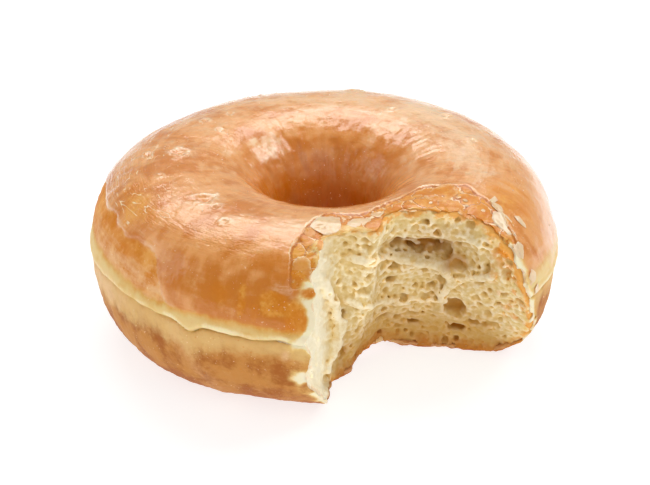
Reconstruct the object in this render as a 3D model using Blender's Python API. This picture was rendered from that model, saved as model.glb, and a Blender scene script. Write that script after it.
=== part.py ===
"""A raised ring doughnut with one bite taken out of it, as one solid.

Metres, +Z up. The origin is under the middle of the ring, on the surface that the doughnut lies on.
The front is -Y, and the bite is at the front, a little to the right.
"""

import math

import bmesh
import bpy
from mathutils import Vector

# Driving sizes of the ring.
RING_RADIUS = 0.0475
HOLE_RADIUS = 0.0106
TUBE_RADIUS = 0.0281  # from the ring's axis to the middle of its tube
RISE = 0.0173  # from the proof line up to the crown
DROP = 0.0198  # from the proof line down to the resting surface
FLATTENED = 0.0006  # how much of the underside is pressed flat

RING_MIDDLE = Vector((0.0009, -0.0006, 0))  # puts the uneven outline's middle over the origin

# How square the section is in each quarter: 1 is an ellipse, and less is squarer.
OUTER_UPPER, OUTER_LOWER, INNER_UPPER, INNER_LOWER = 0.872, 0.819, 0.860, 0.800
# The ring isn't even: the crown is higher at the back, and the hole is off centre to the left.
CROWN_TILT = 0.0007
HOLE_SHIFT = 0.0005
SHOULDER_RIGHT, SHOULDER_FRONT = 0.064, 0.058  # how much rounder the upper shoulder is there
FOOT_RIGHT, FOOT_BACK = 0.047, 0.014  # how much rounder the lower side is there
FOOT_FRONT, FOOT_FRONT_WIDTH = 0.170, 0.16  # the front of the foot is lifted by its own roundness
# Waves of the rim, as (waves round the ring, size, where the first crest is in degrees).
RIM_WAVES = ((2, 0.00035, -74), (3, 0.00075, 67), (7, 0.00020, 20))

# The proof line is the pale pinched band that never lay in the oil.
PINCH_DEPTH, PINCH_HALF_WIDTH = 0.0006, 0.08  # the width in radians round the section
PINCH_TURN = -0.04  # the pinch lies just under the widest point, in radians

# The bite is a column that stands just outside the rim and reaches into the ring.
BITE_AXIS = Vector((0.0180, -0.0480))  # measured from the ring's middle
TOP_REACH = 0.0240  # of the upper teeth, from the axis
TOOTH_GAP_DEPTH, TOOTH_GAP_AT, TOOTH_GAP_WIDTH = 0.0048, 7, 9  # a cusp between two upper teeth
LEFT_REACH, BACK_REACH, RIGHT_REACH = 0.0220, 0.0375, 0.0408  # of the lower teeth
LEFT_AT, BACK_FROM, BACK_TO, RIGHT_AT = 45, -12, -38, -62  # the sides where those reaches hold
UNDERCUT_POWER = 2.0  # how late, going down, the wall leaves the upper reach for the lower one
CAVE_DEPTH, CAVE_HEIGHT, CAVE_HALF_HEIGHT = 0.0042, 0.0288, 0.0028  # the torn hollow under the top
RIDGE_DEPTH, RIDGE_HEIGHT, RIDGE_HALF_HEIGHT = 0.0014, 0.0240, 0.0026  # the fold of crumb below it
CAVE_AT, CAVE_WIDTH = -30, 27

# Facets.
SEGMENTS_AROUND = 96
SEGMENTS_SECTION = 30
EXTRA_AT_PINCH, EXTRA_SPACING = 6, 0.06  # more section points over the pinch, radians apart
BITE_STEP, BITE_HALF = 3, 36  # degrees between the wall's columns, and their number each side
BITE_OUTSIDE_STEP = 24  # degrees, round the side of the cutter that lies in open air
BITE_LAYERS = 24
CUTTER_MARGIN = 0.003  # the cutter stands out above and below
SHARP_ANGLE = 50  # degrees; flatter edges are shaded smooth


def clear_scene():
    for old in list(bpy.data.objects):
        bpy.data.objects.remove(old)


def smoothstep(low, high, value):
    share = min(max((value - low) / (high - low), 0.0), 1.0)
    return share * share * (3 - 2 * share)


def bump(value, middle, width):
    return math.exp(-(((value - middle) / width) ** 2))


def signed_power(value, power):
    return math.copysign(abs(value) ** power, value)


def section_point(around, turn):
    """(radius, height) of the skin at an angle round the ring and an angle round its section.

    Turn 0 faces outwards and a quarter turn faces up."""
    out, lift = math.cos(turn), math.sin(turn)
    right, back = math.cos(around), math.sin(around)
    if lift > 0:
        outer, inner = OUTER_UPPER + SHOULDER_RIGHT * right - SHOULDER_FRONT * back, INNER_UPPER
        tallness = RISE + CROWN_TILT * back
    else:
        outer, inner = OUTER_LOWER + FOOT_RIGHT * right + FOOT_BACK * back, INNER_LOWER
        outer += FOOT_FRONT * bump(back, -1, FOOT_FRONT_WIDTH)
        tallness = DROP + FLATTENED
    power = outer if out > 0 else inner
    height = DROP + tallness * signed_power(lift, power)
    if out > 0:
        reach = RING_RADIUS - TUBE_RADIUS
        for waves, size, first in RIM_WAVES:
            reach += size * math.cos(waves * (around - math.radians(first)))
        reach -= PINCH_DEPTH * bump(math.atan2(lift, out), PINCH_TURN, PINCH_HALF_WIDTH)
    else:
        reach = TUBE_RADIUS - HOLE_RADIUS + HOLE_SHIFT * right
    radius = TUBE_RADIUS + reach * signed_power(out, power)
    return radius, max(height, 0.0)


def section_turns():
    """The section's angles, closer together across the proof line."""
    step = math.tau / SEGMENTS_SECTION
    turns = [i * step for i in range(SEGMENTS_SECTION)]
    for i in range(EXTRA_AT_PINCH):
        turns.append((i - (EXTRA_AT_PINCH - 1) / 2) * EXTRA_SPACING)
    return sorted(turn % math.tau for turn in turns)


def make_ring(material):
    """The whole doughnut: the section carried round the ring."""
    shape = bmesh.new()
    turns = section_turns()
    rows = []
    for i in range(SEGMENTS_AROUND):
        around = math.tau * i / SEGMENTS_AROUND
        row = []
        for turn in turns:
            radius, height = section_point(around, turn)
            row.append(shape.verts.new((radius * math.cos(around), radius * math.sin(around), height)))
        rows.append(row)
    for i, row in enumerate(rows):
        following = rows[(i + 1) % len(rows)]
        for j, corner in enumerate(row):
            after = (j + 1) % len(row)
            shape.faces.new((corner, following[j], following[after], row[after]))
    bmesh.ops.recalc_face_normals(shape, faces=shape.faces)
    return finished("doughnut", shape, material)


def bite_reach(side, height):
    """How far the bite reaches from its axis, at an angle and a height.

    Side is in degrees: 0 looks from the axis to the ring's middle, and left is positive."""
    gap = TOOTH_GAP_DEPTH * bump(side, TOOTH_GAP_AT, TOOTH_GAP_WIDTH)
    upper = TOP_REACH - gap
    lower = LEFT_REACH + (BACK_REACH - LEFT_REACH) * smoothstep(-LEFT_AT, -BACK_FROM, -side)
    lower += (RIGHT_REACH - BACK_REACH) * smoothstep(-BACK_TO, -RIGHT_AT, -side) - gap / 2
    depth = min(max(1 - height / (RISE + DROP), 0.0), 1.0)
    reach = upper + (lower - upper) * depth**UNDERCUT_POWER
    across = bump(side, CAVE_AT, CAVE_WIDTH)
    reach += CAVE_DEPTH * across * bump(height, CAVE_HEIGHT, CAVE_HALF_HEIGHT)
    reach -= RIDGE_DEPTH * across * bump(height, RIDGE_HEIGHT, RIDGE_HALF_HEIGHT)
    return reach


def bite_sides():
    """The cutter's columns, in degrees: close together on the bitten wall only."""
    wall = [BITE_STEP * i for i in range(-BITE_HALF, BITE_HALF + 1)]
    return wall + list(range(wall[-1] + BITE_OUTSIDE_STEP, 360 + wall[0], BITE_OUTSIDE_STEP))


def make_bite(material):
    """The cutter: a column whose wall is the bitten face."""
    shape = bmesh.new()
    sides = bite_sides()
    inwards = math.atan2(-BITE_AXIS.y, -BITE_AXIS.x)
    lowest, highest = -CUTTER_MARGIN, RISE + DROP + CUTTER_MARGIN
    layers = []
    for i in range(BITE_LAYERS + 1):
        height = lowest + (highest - lowest) * i / BITE_LAYERS
        layer = []
        for side in sides:
            angle = inwards + math.radians(side)
            reach = bite_reach(side, height)
            spot = BITE_AXIS + reach * Vector((math.cos(angle), math.sin(angle)))
            layer.append(shape.verts.new((spot.x, spot.y, height)))
        layers.append(layer)
    for below, above in zip(layers, layers[1:]):
        for j in range(len(sides)):
            after = (j + 1) % len(sides)
            shape.faces.new((below[j], below[after], above[after], above[j]))
    shape.faces.new(layers[0])
    shape.faces.new(layers[-1])
    bmesh.ops.recalc_face_normals(shape, faces=shape.faces)
    cutter = finished("bite", shape, material)
    cutter.hide_render = True
    cutter.display_type = "WIRE"
    return cutter


def finished(name, shape, material):
    """An object from a bmesh about the ring's middle, smooth shaded, with one material."""
    mesh = bpy.data.meshes.new(name)
    shape.to_mesh(mesh)
    shape.free()
    mesh.materials.append(material)
    mesh.shade_smooth()
    mesh.set_sharp_from_angle(angle=math.radians(SHARP_ANGLE))
    made = bpy.data.objects.new(name, mesh)
    made.location = RING_MIDDLE
    bpy.context.scene.collection.objects.link(made)
    return made


def baked_material(name, colour, roughness):
    material = bpy.data.materials.new(name)
    material.use_nodes = True
    shader = material.node_tree.nodes["Principled BSDF"]
    shader.inputs["Base Color"].default_value = (*colour, 1)
    shader.inputs["Roughness"].default_value = roughness
    shader.inputs["Metallic"].default_value = 0.0
    return material


def take_bite(ring, cutter):
    cut = ring.modifiers.new("bite", "BOOLEAN")
    cut.operation = "DIFFERENCE"
    cut.solver = "EXACT"
    cut.material_mode = "TRANSFER"
    cut.object = cutter


def main():
    clear_scene()
    crust = baked_material("glazed_crust", (0.72, 0.35, 0.12), 0.3)
    crumb = baked_material("crumb", (0.86, 0.74, 0.50), 0.9)
    take_bite(make_ring(crust), make_bite(crumb))


main()
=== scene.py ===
"""The looks of the bitten doughnut: crust and glaze, torn crumb, glaze plates and sugar specks.

Shapes are worked out in millimetres about the ring's middle and turned into metres when a mesh is made.
Azimuths are in degrees with the front at -90. A turn is the angle round the ring's section, in degrees:
0 faces outwards, 90 faces up, 180 faces the hole.
"""

import math
from functools import partial

import bpy
import numpy as np
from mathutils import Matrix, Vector


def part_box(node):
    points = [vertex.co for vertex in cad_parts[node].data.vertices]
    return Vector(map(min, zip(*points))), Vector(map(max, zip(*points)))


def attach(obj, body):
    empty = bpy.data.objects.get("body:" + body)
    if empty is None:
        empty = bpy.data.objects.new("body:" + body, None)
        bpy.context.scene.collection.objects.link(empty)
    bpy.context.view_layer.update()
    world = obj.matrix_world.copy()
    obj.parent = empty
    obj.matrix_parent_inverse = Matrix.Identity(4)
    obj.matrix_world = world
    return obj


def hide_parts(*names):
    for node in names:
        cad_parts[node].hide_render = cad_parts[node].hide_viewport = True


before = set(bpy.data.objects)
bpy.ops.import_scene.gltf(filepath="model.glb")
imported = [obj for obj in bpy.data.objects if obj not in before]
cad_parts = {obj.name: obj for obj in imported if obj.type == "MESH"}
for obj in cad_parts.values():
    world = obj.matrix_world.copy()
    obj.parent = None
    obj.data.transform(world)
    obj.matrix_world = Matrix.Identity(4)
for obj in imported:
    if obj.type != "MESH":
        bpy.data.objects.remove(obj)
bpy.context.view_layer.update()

# ---------------------------------------------------------------- the ring and bite, as in the CAD, in mm
RING_RADIUS, HOLE_RADIUS, TUBE_RADIUS = 47.5, 10.6, 28.1
RISE, DROP, FLATTENED = 17.3, 19.8, 0.6
OUTER_UPPER, OUTER_LOWER, INNER_UPPER, INNER_LOWER = 0.872, 0.819, 0.860, 0.800
CROWN_TILT, HOLE_SHIFT = 0.7, 0.5
SHOULDER_RIGHT, SHOULDER_FRONT = 0.064, 0.058
FOOT_RIGHT, FOOT_BACK = 0.047, 0.014
FOOT_FRONT, FOOT_FRONT_WIDTH = 0.170, 0.16
RIM_WAVES = ((2, 0.35, -74), (3, 0.75, 67), (7, 0.20, 20))
BITE_AXIS = np.array([18.0, -48.0])
BITE_INWARDS = math.degrees(math.atan2(-BITE_AXIS[1], -BITE_AXIS[0]))
TOP_REACH = 24.0
TOOTH_GAP_DEPTH, TOOTH_GAP_AT, TOOTH_GAP_WIDTH = 4.8, 7, 9
LEFT_REACH, BACK_REACH, RIGHT_REACH = 22.0, 37.5, 40.8
LEFT_AT, BACK_FROM, BACK_TO, RIGHT_AT = 45, -12, -38, -62
UNDERCUT_POWER = 2.0
CAVE_DEPTH, CAVE_HEIGHT, CAVE_HALF_HEIGHT = 4.2, 28.8, 2.8
RIDGE_DEPTH, RIDGE_HEIGHT, RIDGE_HALF_HEIGHT = 1.4, 24.0, 2.6
CAVE_AT, CAVE_WIDTH = -30, 27

low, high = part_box("doughnut")
MIDDLE_OFFSET = Vector((0.00085, -0.00058, 0))  # the ring's middle from the middle of the CAD's box
RING_MIDDLE = np.array((low + high) / 2 * 1000 + MIDDLE_OFFSET * 1000)
RING_MIDDLE[2] = 0.0

# ---------------------------------------------------------------- small helpers


def smoothstep(start, end, value):
    share = np.clip((value - start) / (end - start), 0.0, 1.0)
    return share * share * (3 - 2 * share)


def bump(value, middle, width):
    return np.exp(-(((value - middle) / width) ** 2))


def away(azimuth, middle):
    """Degrees from middle, across the seam at 180."""
    return (azimuth - middle + 180) % 360 - 180


def facing(azimuth, middle, width):
    """1 at the azimuth middle, falling to 0 at about two widths from it."""
    return bump(away(azimuth, middle), 0, width)


def signed_power(value, power):
    return np.sign(value) * np.abs(value) ** power


class Shuffle:
    """A seeded shuffle that gives each cell of a grid a number from 0 to 255."""

    def __init__(self, seed):
        self.draw = np.random.default_rng(seed)
        self.order = np.concatenate([self.draw.permutation(256)] * 2).astype(np.int32)

    def pick(self, cell):
        at = cell & 255
        return self.order[self.order[self.order[at[:, 0]] + at[:, 1]] + at[:, 2]]


CORNERS = np.array([(i & 1, i >> 1 & 1, i >> 2 & 1) for i in range(8)], np.int32)


class Noise(Shuffle):
    """Seeded gradient noise, about -1 to 1."""

    def __init__(self, seed):
        super().__init__(seed)
        slopes = self.draw.normal(size=(256, 3))
        self.slopes = (slopes / np.linalg.norm(slopes, axis=1)[:, None]).astype(np.float32)

    def __call__(self, points, size):
        spot = np.asarray(points, np.float32) / np.asarray(size, np.float32)
        cell = np.floor(spot)
        part = spot - cell
        cell = cell.astype(np.int32)
        ease = part * part * part * (part * (part * 6 - 15) + 10)
        total = np.zeros(len(spot), np.float32)
        for step in CORNERS:
            weight = np.prod(np.where(step, ease, 1 - ease), axis=1)
            total += weight * np.einsum("ij,ij->i", self.slopes[self.pick(cell + step)], part - step)
        return total * 1.6

    def layers(self, points, size):
        """Three layers, each half as large and half as strong as the one before."""
        return sum(0.5**i * self(points + 17.3 * i, np.asarray(size, float) / 2**i) for i in range(3))

    def three(self, points, apart, size, start=0):
        """Three noises that don't look alike, as a push in space."""
        return np.stack([self(points + apart * i + start, size) for i in range(3)], -1)


class Cells(Shuffle):
    """Seeded cells: how far a point is from its own cell's wall, and a number for the cell."""

    BATCH = 60000  # points at a time, to save memory

    def __init__(self, seed):
        super().__init__(seed)
        self.seat = self.draw.uniform(0.05, 0.95, (256, 3)).astype(np.float32)
        self.number = self.draw.uniform(0, 1, 256).astype(np.float32)

    def __call__(self, spots):
        walls, numbers = [], []
        for start in range(0, len(spots), self.BATCH):
            spot = np.asarray(spots[start:start + self.BATCH], np.float32)
            cell = np.floor(spot)
            part = spot - cell
            cell = cell.astype(np.int32)
            nearest = np.full(len(spot), 9.0, np.float32)
            second = nearest.copy()
            name = np.zeros(len(spot), np.int32)
            for i in range(27):
                step = np.array([i % 3 - 1, i // 3 % 3 - 1, i // 9 - 1], np.int32)
                pick = self.pick(cell + step)
                off = self.seat[pick] + step - part
                gap = np.sqrt(np.einsum("ij,ij->i", off, off))
                closer = gap < nearest
                second = np.where(closer, nearest, np.minimum(second, gap))
                name = np.where(closer, pick, name)
                nearest = np.where(closer, gap, nearest)
            walls.append((second - nearest) / 2)
            numbers.append(self.number[name])
        return np.concatenate(walls), np.concatenate(numbers)


# ---------------------------------------------------------------- the ring's skin


def section_shape(azimuth):
    """The outer powers, reaches and heights of the section at an azimuth in radians."""
    right, back = np.cos(azimuth), np.sin(azimuth)
    upper = OUTER_UPPER + SHOULDER_RIGHT * right - SHOULDER_FRONT * back
    lower = OUTER_LOWER + FOOT_RIGHT * right + FOOT_BACK * back
    lower = lower + FOOT_FRONT * bump(back, -1, FOOT_FRONT_WIDTH)
    outer_reach = RING_RADIUS - TUBE_RADIUS
    for waves, size, first in RIM_WAVES:
        outer_reach = outer_reach + size * np.cos(waves * (azimuth - math.radians(first)))
    inner_reach = TUBE_RADIUS - HOLE_RADIUS + HOLE_SHIFT * right
    return upper, lower, outer_reach, inner_reach, RISE + CROWN_TILT * back, DROP + FLATTENED


def quarter(out, lift, shape):
    """(reach, height, power) of the quarter of the section that out and lift point to."""
    upper, lower, outer_reach, inner_reach, rise, drop = shape
    power = np.where(out > 0, np.where(lift > 0, upper, lower), np.where(lift > 0, INNER_UPPER, INNER_LOWER))
    return np.where(out > 0, outer_reach, inner_reach), np.where(lift > 0, rise, drop), power


def skin(azimuth, turn):
    """The skin's points, for azimuths and turns in degrees."""
    azimuth, turn = np.radians(azimuth), np.radians(turn)
    out, lift = np.cos(turn), np.sin(turn)
    reach, tall, power = quarter(out, lift, section_shape(azimuth))
    height = DROP + tall * signed_power(lift, power)
    radius = TUBE_RADIUS + reach * signed_power(out, power)
    return np.stack([radius * np.cos(azimuth), radius * np.sin(azimuth), np.maximum(height, 0)], -1)


def place_in_section(points):
    """(azimuth, turn, depth below the skin) of points in millimetres."""
    x, y, z = points[..., 0], points[..., 1], points[..., 2]
    azimuth = np.arctan2(y, x)
    out, lift = np.hypot(x, y) - TUBE_RADIUS, z - DROP
    reach, tall, power = quarter(out, lift, section_shape(azimuth))
    across, along = np.abs(out) / reach + 1e-6, np.abs(lift) / tall + 1e-6
    share = (across ** (2 / power) + along ** (2 / power)) ** (power / 2)
    slopes = (across / share) ** (2 / power - 1) / reach, (along / share) ** (2 / power - 1) / tall
    depth = np.minimum((1 - share) / np.hypot(*slopes), z)
    turn = np.arctan2(signed_power(lift / tall, 1 / power), signed_power(out / reach, 1 / power))
    return np.degrees(azimuth), np.degrees(turn), depth


def bite_side(points):
    """(side, distance) of points about the bite's axis: side 0 faces the ring's middle, left is positive."""
    ahead = points[..., :2] - BITE_AXIS
    side = away(np.degrees(np.arctan2(ahead[..., 1], ahead[..., 0])), BITE_INWARDS)
    return side, np.hypot(ahead[..., 0], ahead[..., 1])


def bite_reach(side, height):
    """How far the bitten face is from the bite's axis."""
    gap = TOOTH_GAP_DEPTH * bump(side, TOOTH_GAP_AT, TOOTH_GAP_WIDTH)
    upper = TOP_REACH - gap
    lower = LEFT_REACH + (BACK_REACH - LEFT_REACH) * smoothstep(-LEFT_AT, -BACK_FROM, -side)
    lower = lower + (RIGHT_REACH - BACK_REACH) * smoothstep(-BACK_TO, -RIGHT_AT, -side) - gap / 2
    reach = upper + (lower - upper) * np.clip(1 - height / (RISE + DROP), 0, 1) ** UNDERCUT_POWER
    across = bump(side, CAVE_AT, CAVE_WIDTH)
    reach = reach + CAVE_DEPTH * across * bump(height, CAVE_HEIGHT, CAVE_HALF_HEIGHT)
    return reach - RIDGE_DEPTH * across * bump(height, RIDGE_HEIGHT, RIDGE_HALF_HEIGHT)


# ---------------------------------------------------------------- what the skin carries

LUMPS, FINE, FLOW, EDGES = Noise(11), Noise(12), Noise(13), Noise(14)
CHIPS = Cells(15)
SEAM_AZIMUTH = -65  # where the round coordinates start, inside the bite
MM_PER_DEGREE_ROUND, MM_PER_DEGREE_TURN = 0.70, 0.32
FLAT = (1, 1, 0)  # drops the height, so that noise runs straight up and down
GAP_RANGE = 6.0  # mm across the break line that the field gap covers
CHIP_SIZE = 3.8  # mm across the chips that the broken crust has come up in
CRACK_SIZE = 4.6  # mm between the lines that the material draws there

# Where the glaze has broken away round the bite: (side, distance from the bite's axis).
BREAK_LINE = ((62, 25.0), (50, 26.0), (44, 27.0), (36, 27.3), (27, 28.2), (18, 29.5), (13, 26.4), (8, 24.8),
              (2, 25.6), (-6, 27.9), (-13, 30.2), (-21, 35.0), (-27, 34.7), (-35, 35.6), (-40, 33.0),
              (-50, 31.0), (-62, 27.5))
# How far the crust hangs past the bitten face on the bite's left: (height, mm).
LEFT_HANG = ((0, 2.4), (7, 2.6), (9.5, 1.2), (12.4, 0.8), (14.5, 2.2), (17.5, 2.6), (20, 1.1), (22.5, 2.6),
             (25.5, 3.1), (27.5, 2.6), (29.2, 3.4), (31, 2.0), (35, 2.8))
# Blobs where the crust shows through: (azimuth, height, half width in degrees, half height, strength).
BARE_PATCHES = ((-102.6, 27.0, 3.8, 2.2, 0.8), (-97.3, 24.8, 3.0, 3.4, 1.0), (-94.4, 29.1, 1.5, 0.9, 0.9),
                (-96.0, 16.2, 2.9, 2.5, 0.85), (-94.8, 9.2, 1.9, 1.6, 0.8), (-110.4, 26.4, 1.2, 3.2, 0.7),
                (-106.8, 25.0, 1.0, 1.8, 0.5), (-103.5, 16.5, 1.0, 2.0, 0.5),
                (-116.0, 27.5, 2.2, 2.0, 0.45))
# Pits in the glaze: (azimuth, turn, half length in mm, depth).
PITS = ((177, 87, 2.0, 0.45), (-141, 85, 2.2, 0.45), (-133, 83, 1.3, 0.35), (176, 71, 1.1, 0.3),
        (150, 96, 1.0, 0.35), (146, 84, 0.9, 0.25), (40, 78, 1.4, 0.3), (14, 84, 1.0, 0.25),
        (80, 70, 1.6, 0.3), (115, 60, 1.3, 0.25), (-124, 74, 0.9, 0.2), (134, 88, 0.8, 0.3),
        (60, 92, 0.9, 0.25), (24, 68, 0.8, 0.2), (-165, 77, 0.8, 0.25))
# Pale films of dried glaze, partly painted highlights on the crown: (azimuth, turn, half width and half
# height in degrees, strength).
PALE_FILMS_AND_HIGHLIGHTS = ((-110, 83, 13, 10, 0.6), (-124, 77, 6, 5, 0.6), (-138, 86, 8, 7, 0.4), (176, 88, 9, 7, 0.4),
         (-97, 84, 6, 8, 0.5), (8, 92, 20, 13, 0.8), (-12, 84, 14, 9, 0.6), (48, 82, 13, 8, 0.5),
         (112, 84, 12, 6, 0.4), (150, 75, 8, 5, 0.35), (-160, 56, 9, 5, 0.4), (75, 64, 22, 8, 0.5),
         (100, 97, 30, 6, 0.35), (-101, 33, 3, 4, 0.8), (-99, 27, 2, 4, 0.7))


def wrapped(azimuth, turn):
    """Millimetres round the ring and up the section, both without a break where they are seen."""
    return away(azimuth, SEAM_AZIMUTH + 180) * MM_PER_DEGREE_ROUND, away(turn, 90) * MM_PER_DEGREE_TURN


def along_ring(azimuth, turn, stretch=4.0):
    """Coordinates in which noise is drawn out round the ring."""
    across, up = wrapped(azimuth, turn)
    return np.stack([across / stretch, up, 0 * up + 3.1], -1)


def down_side(azimuth, turn, stretch=4.0):
    """Coordinates in which noise is drawn out up and down the section."""
    across, up = wrapped(azimuth, turn)
    return np.stack([across, up / stretch, 0 * up + 7.7], -1)


def hang(side, height):
    """How far the crust, and the crumb next to it, hang past the bitten face."""
    left = smoothstep(34, 46, side) * np.interp(height, *np.transpose(LEFT_HANG))
    top = 1.8 * bump(side, 13, 11) * smoothstep(28, 34, height)
    return left + top + 1.2 * smoothstep(5.5, 1.5, height) * smoothstep(42, 28, side)


def crease_height(azimuth, points):
    """The height of the crease under the pale band."""
    wander = 0.40 * FLOW(points * FLAT, 9.0) + 0.22 * FINE(points * FLAT, 3.0)
    dip = 1.3 * facing(azimuth, -123.5, 2.6) + 0.4 * facing(azimuth, -107, 3.5)
    return 19.8 + wander - dip + 0.5 * facing(azimuth, -101, 2.5)


def band_top(azimuth, points):
    """The height that the pale band reaches up to."""
    left = smoothstep(-132, -165, azimuth) * (azimuth < 0) + smoothstep(120, 165, azimuth)
    wander = 0.3 * FLOW(points * FLAT + 60, 8.0)
    return 22.3 + 1.5 * left + 2.2 * facing(azimuth, -30, 30) - 0.6 * facing(azimuth, -99, 9) + wander


def glaze_edge_turn(azimuth, points):
    """The turn that the glaze reaches down to on the outside."""
    left = smoothstep(-129, -138, azimuth) * (azimuth < 0) + smoothstep(135, 172, azimuth) * (azimuth > 0)
    wander = 5.0 * FLOW(points * (1, 1, 0.3), 11.0) + 2.6 * FINE(points, 3.5)
    return 8 + 29 * left + 8 * facing(azimuth, 70, 40) + wander * (0.25 + 0.75 * left)


def break_distance(side, points):
    """How far from the bite's axis the glaze has broken away."""
    sides, distances = np.transpose(BREAK_LINE[::-1])
    return np.interp(side, sides, distances) + 0.45 * EDGES(points, 2.6) + 0.2 * EDGES(points, 0.9)


def chips(points, flaked):
    """How far each point of the broken ground is from its chip's wall, and the chip's number."""
    wall, number = np.ones(len(points)), np.zeros(len(points))
    near = flaked > 0.02
    if near.any():
        crooked = points[near] + 0.6 * EDGES.three(points[near], 30, 1.8)
        near_wall, number[near] = CHIPS(crooked / CHIP_SIZE)
        wall[near] = near_wall * CHIP_SIZE
    return wall, number


def bare_patches(azimuth, points, wobble):
    """The patches on the front where the crust shows through."""
    patch = np.zeros(len(points))
    for at, height, wide, tall, strength in BARE_PATCHES:
        off = np.hypot(away(azimuth, at) / wide, (points[:, 2] - height) / tall) + wobble[0] + wobble[1]
        patch = np.maximum(patch, strength * smoothstep(1.30, 0.75, off))
    return patch


def pits(points):
    """(rim, depth) of the pits in the glaze."""
    rim, deep = np.zeros(len(points)), np.zeros(len(points))
    for at, about, half, depth in PITS:
        middle = skin(np.array([float(at)]), np.array([float(about)]))[0]
        off = np.linalg.norm(points - middle, axis=1) / half
        off = off * (1 + 0.5 * FINE(points, 1.6)) + 0.4 * FINE(points + 4, 0.8)
        deep = np.maximum(deep, depth * smoothstep(0.8, 0.3, off))
        rim = np.maximum(rim, bump(off, 0.95, 0.22))
    return rim, deep


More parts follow.
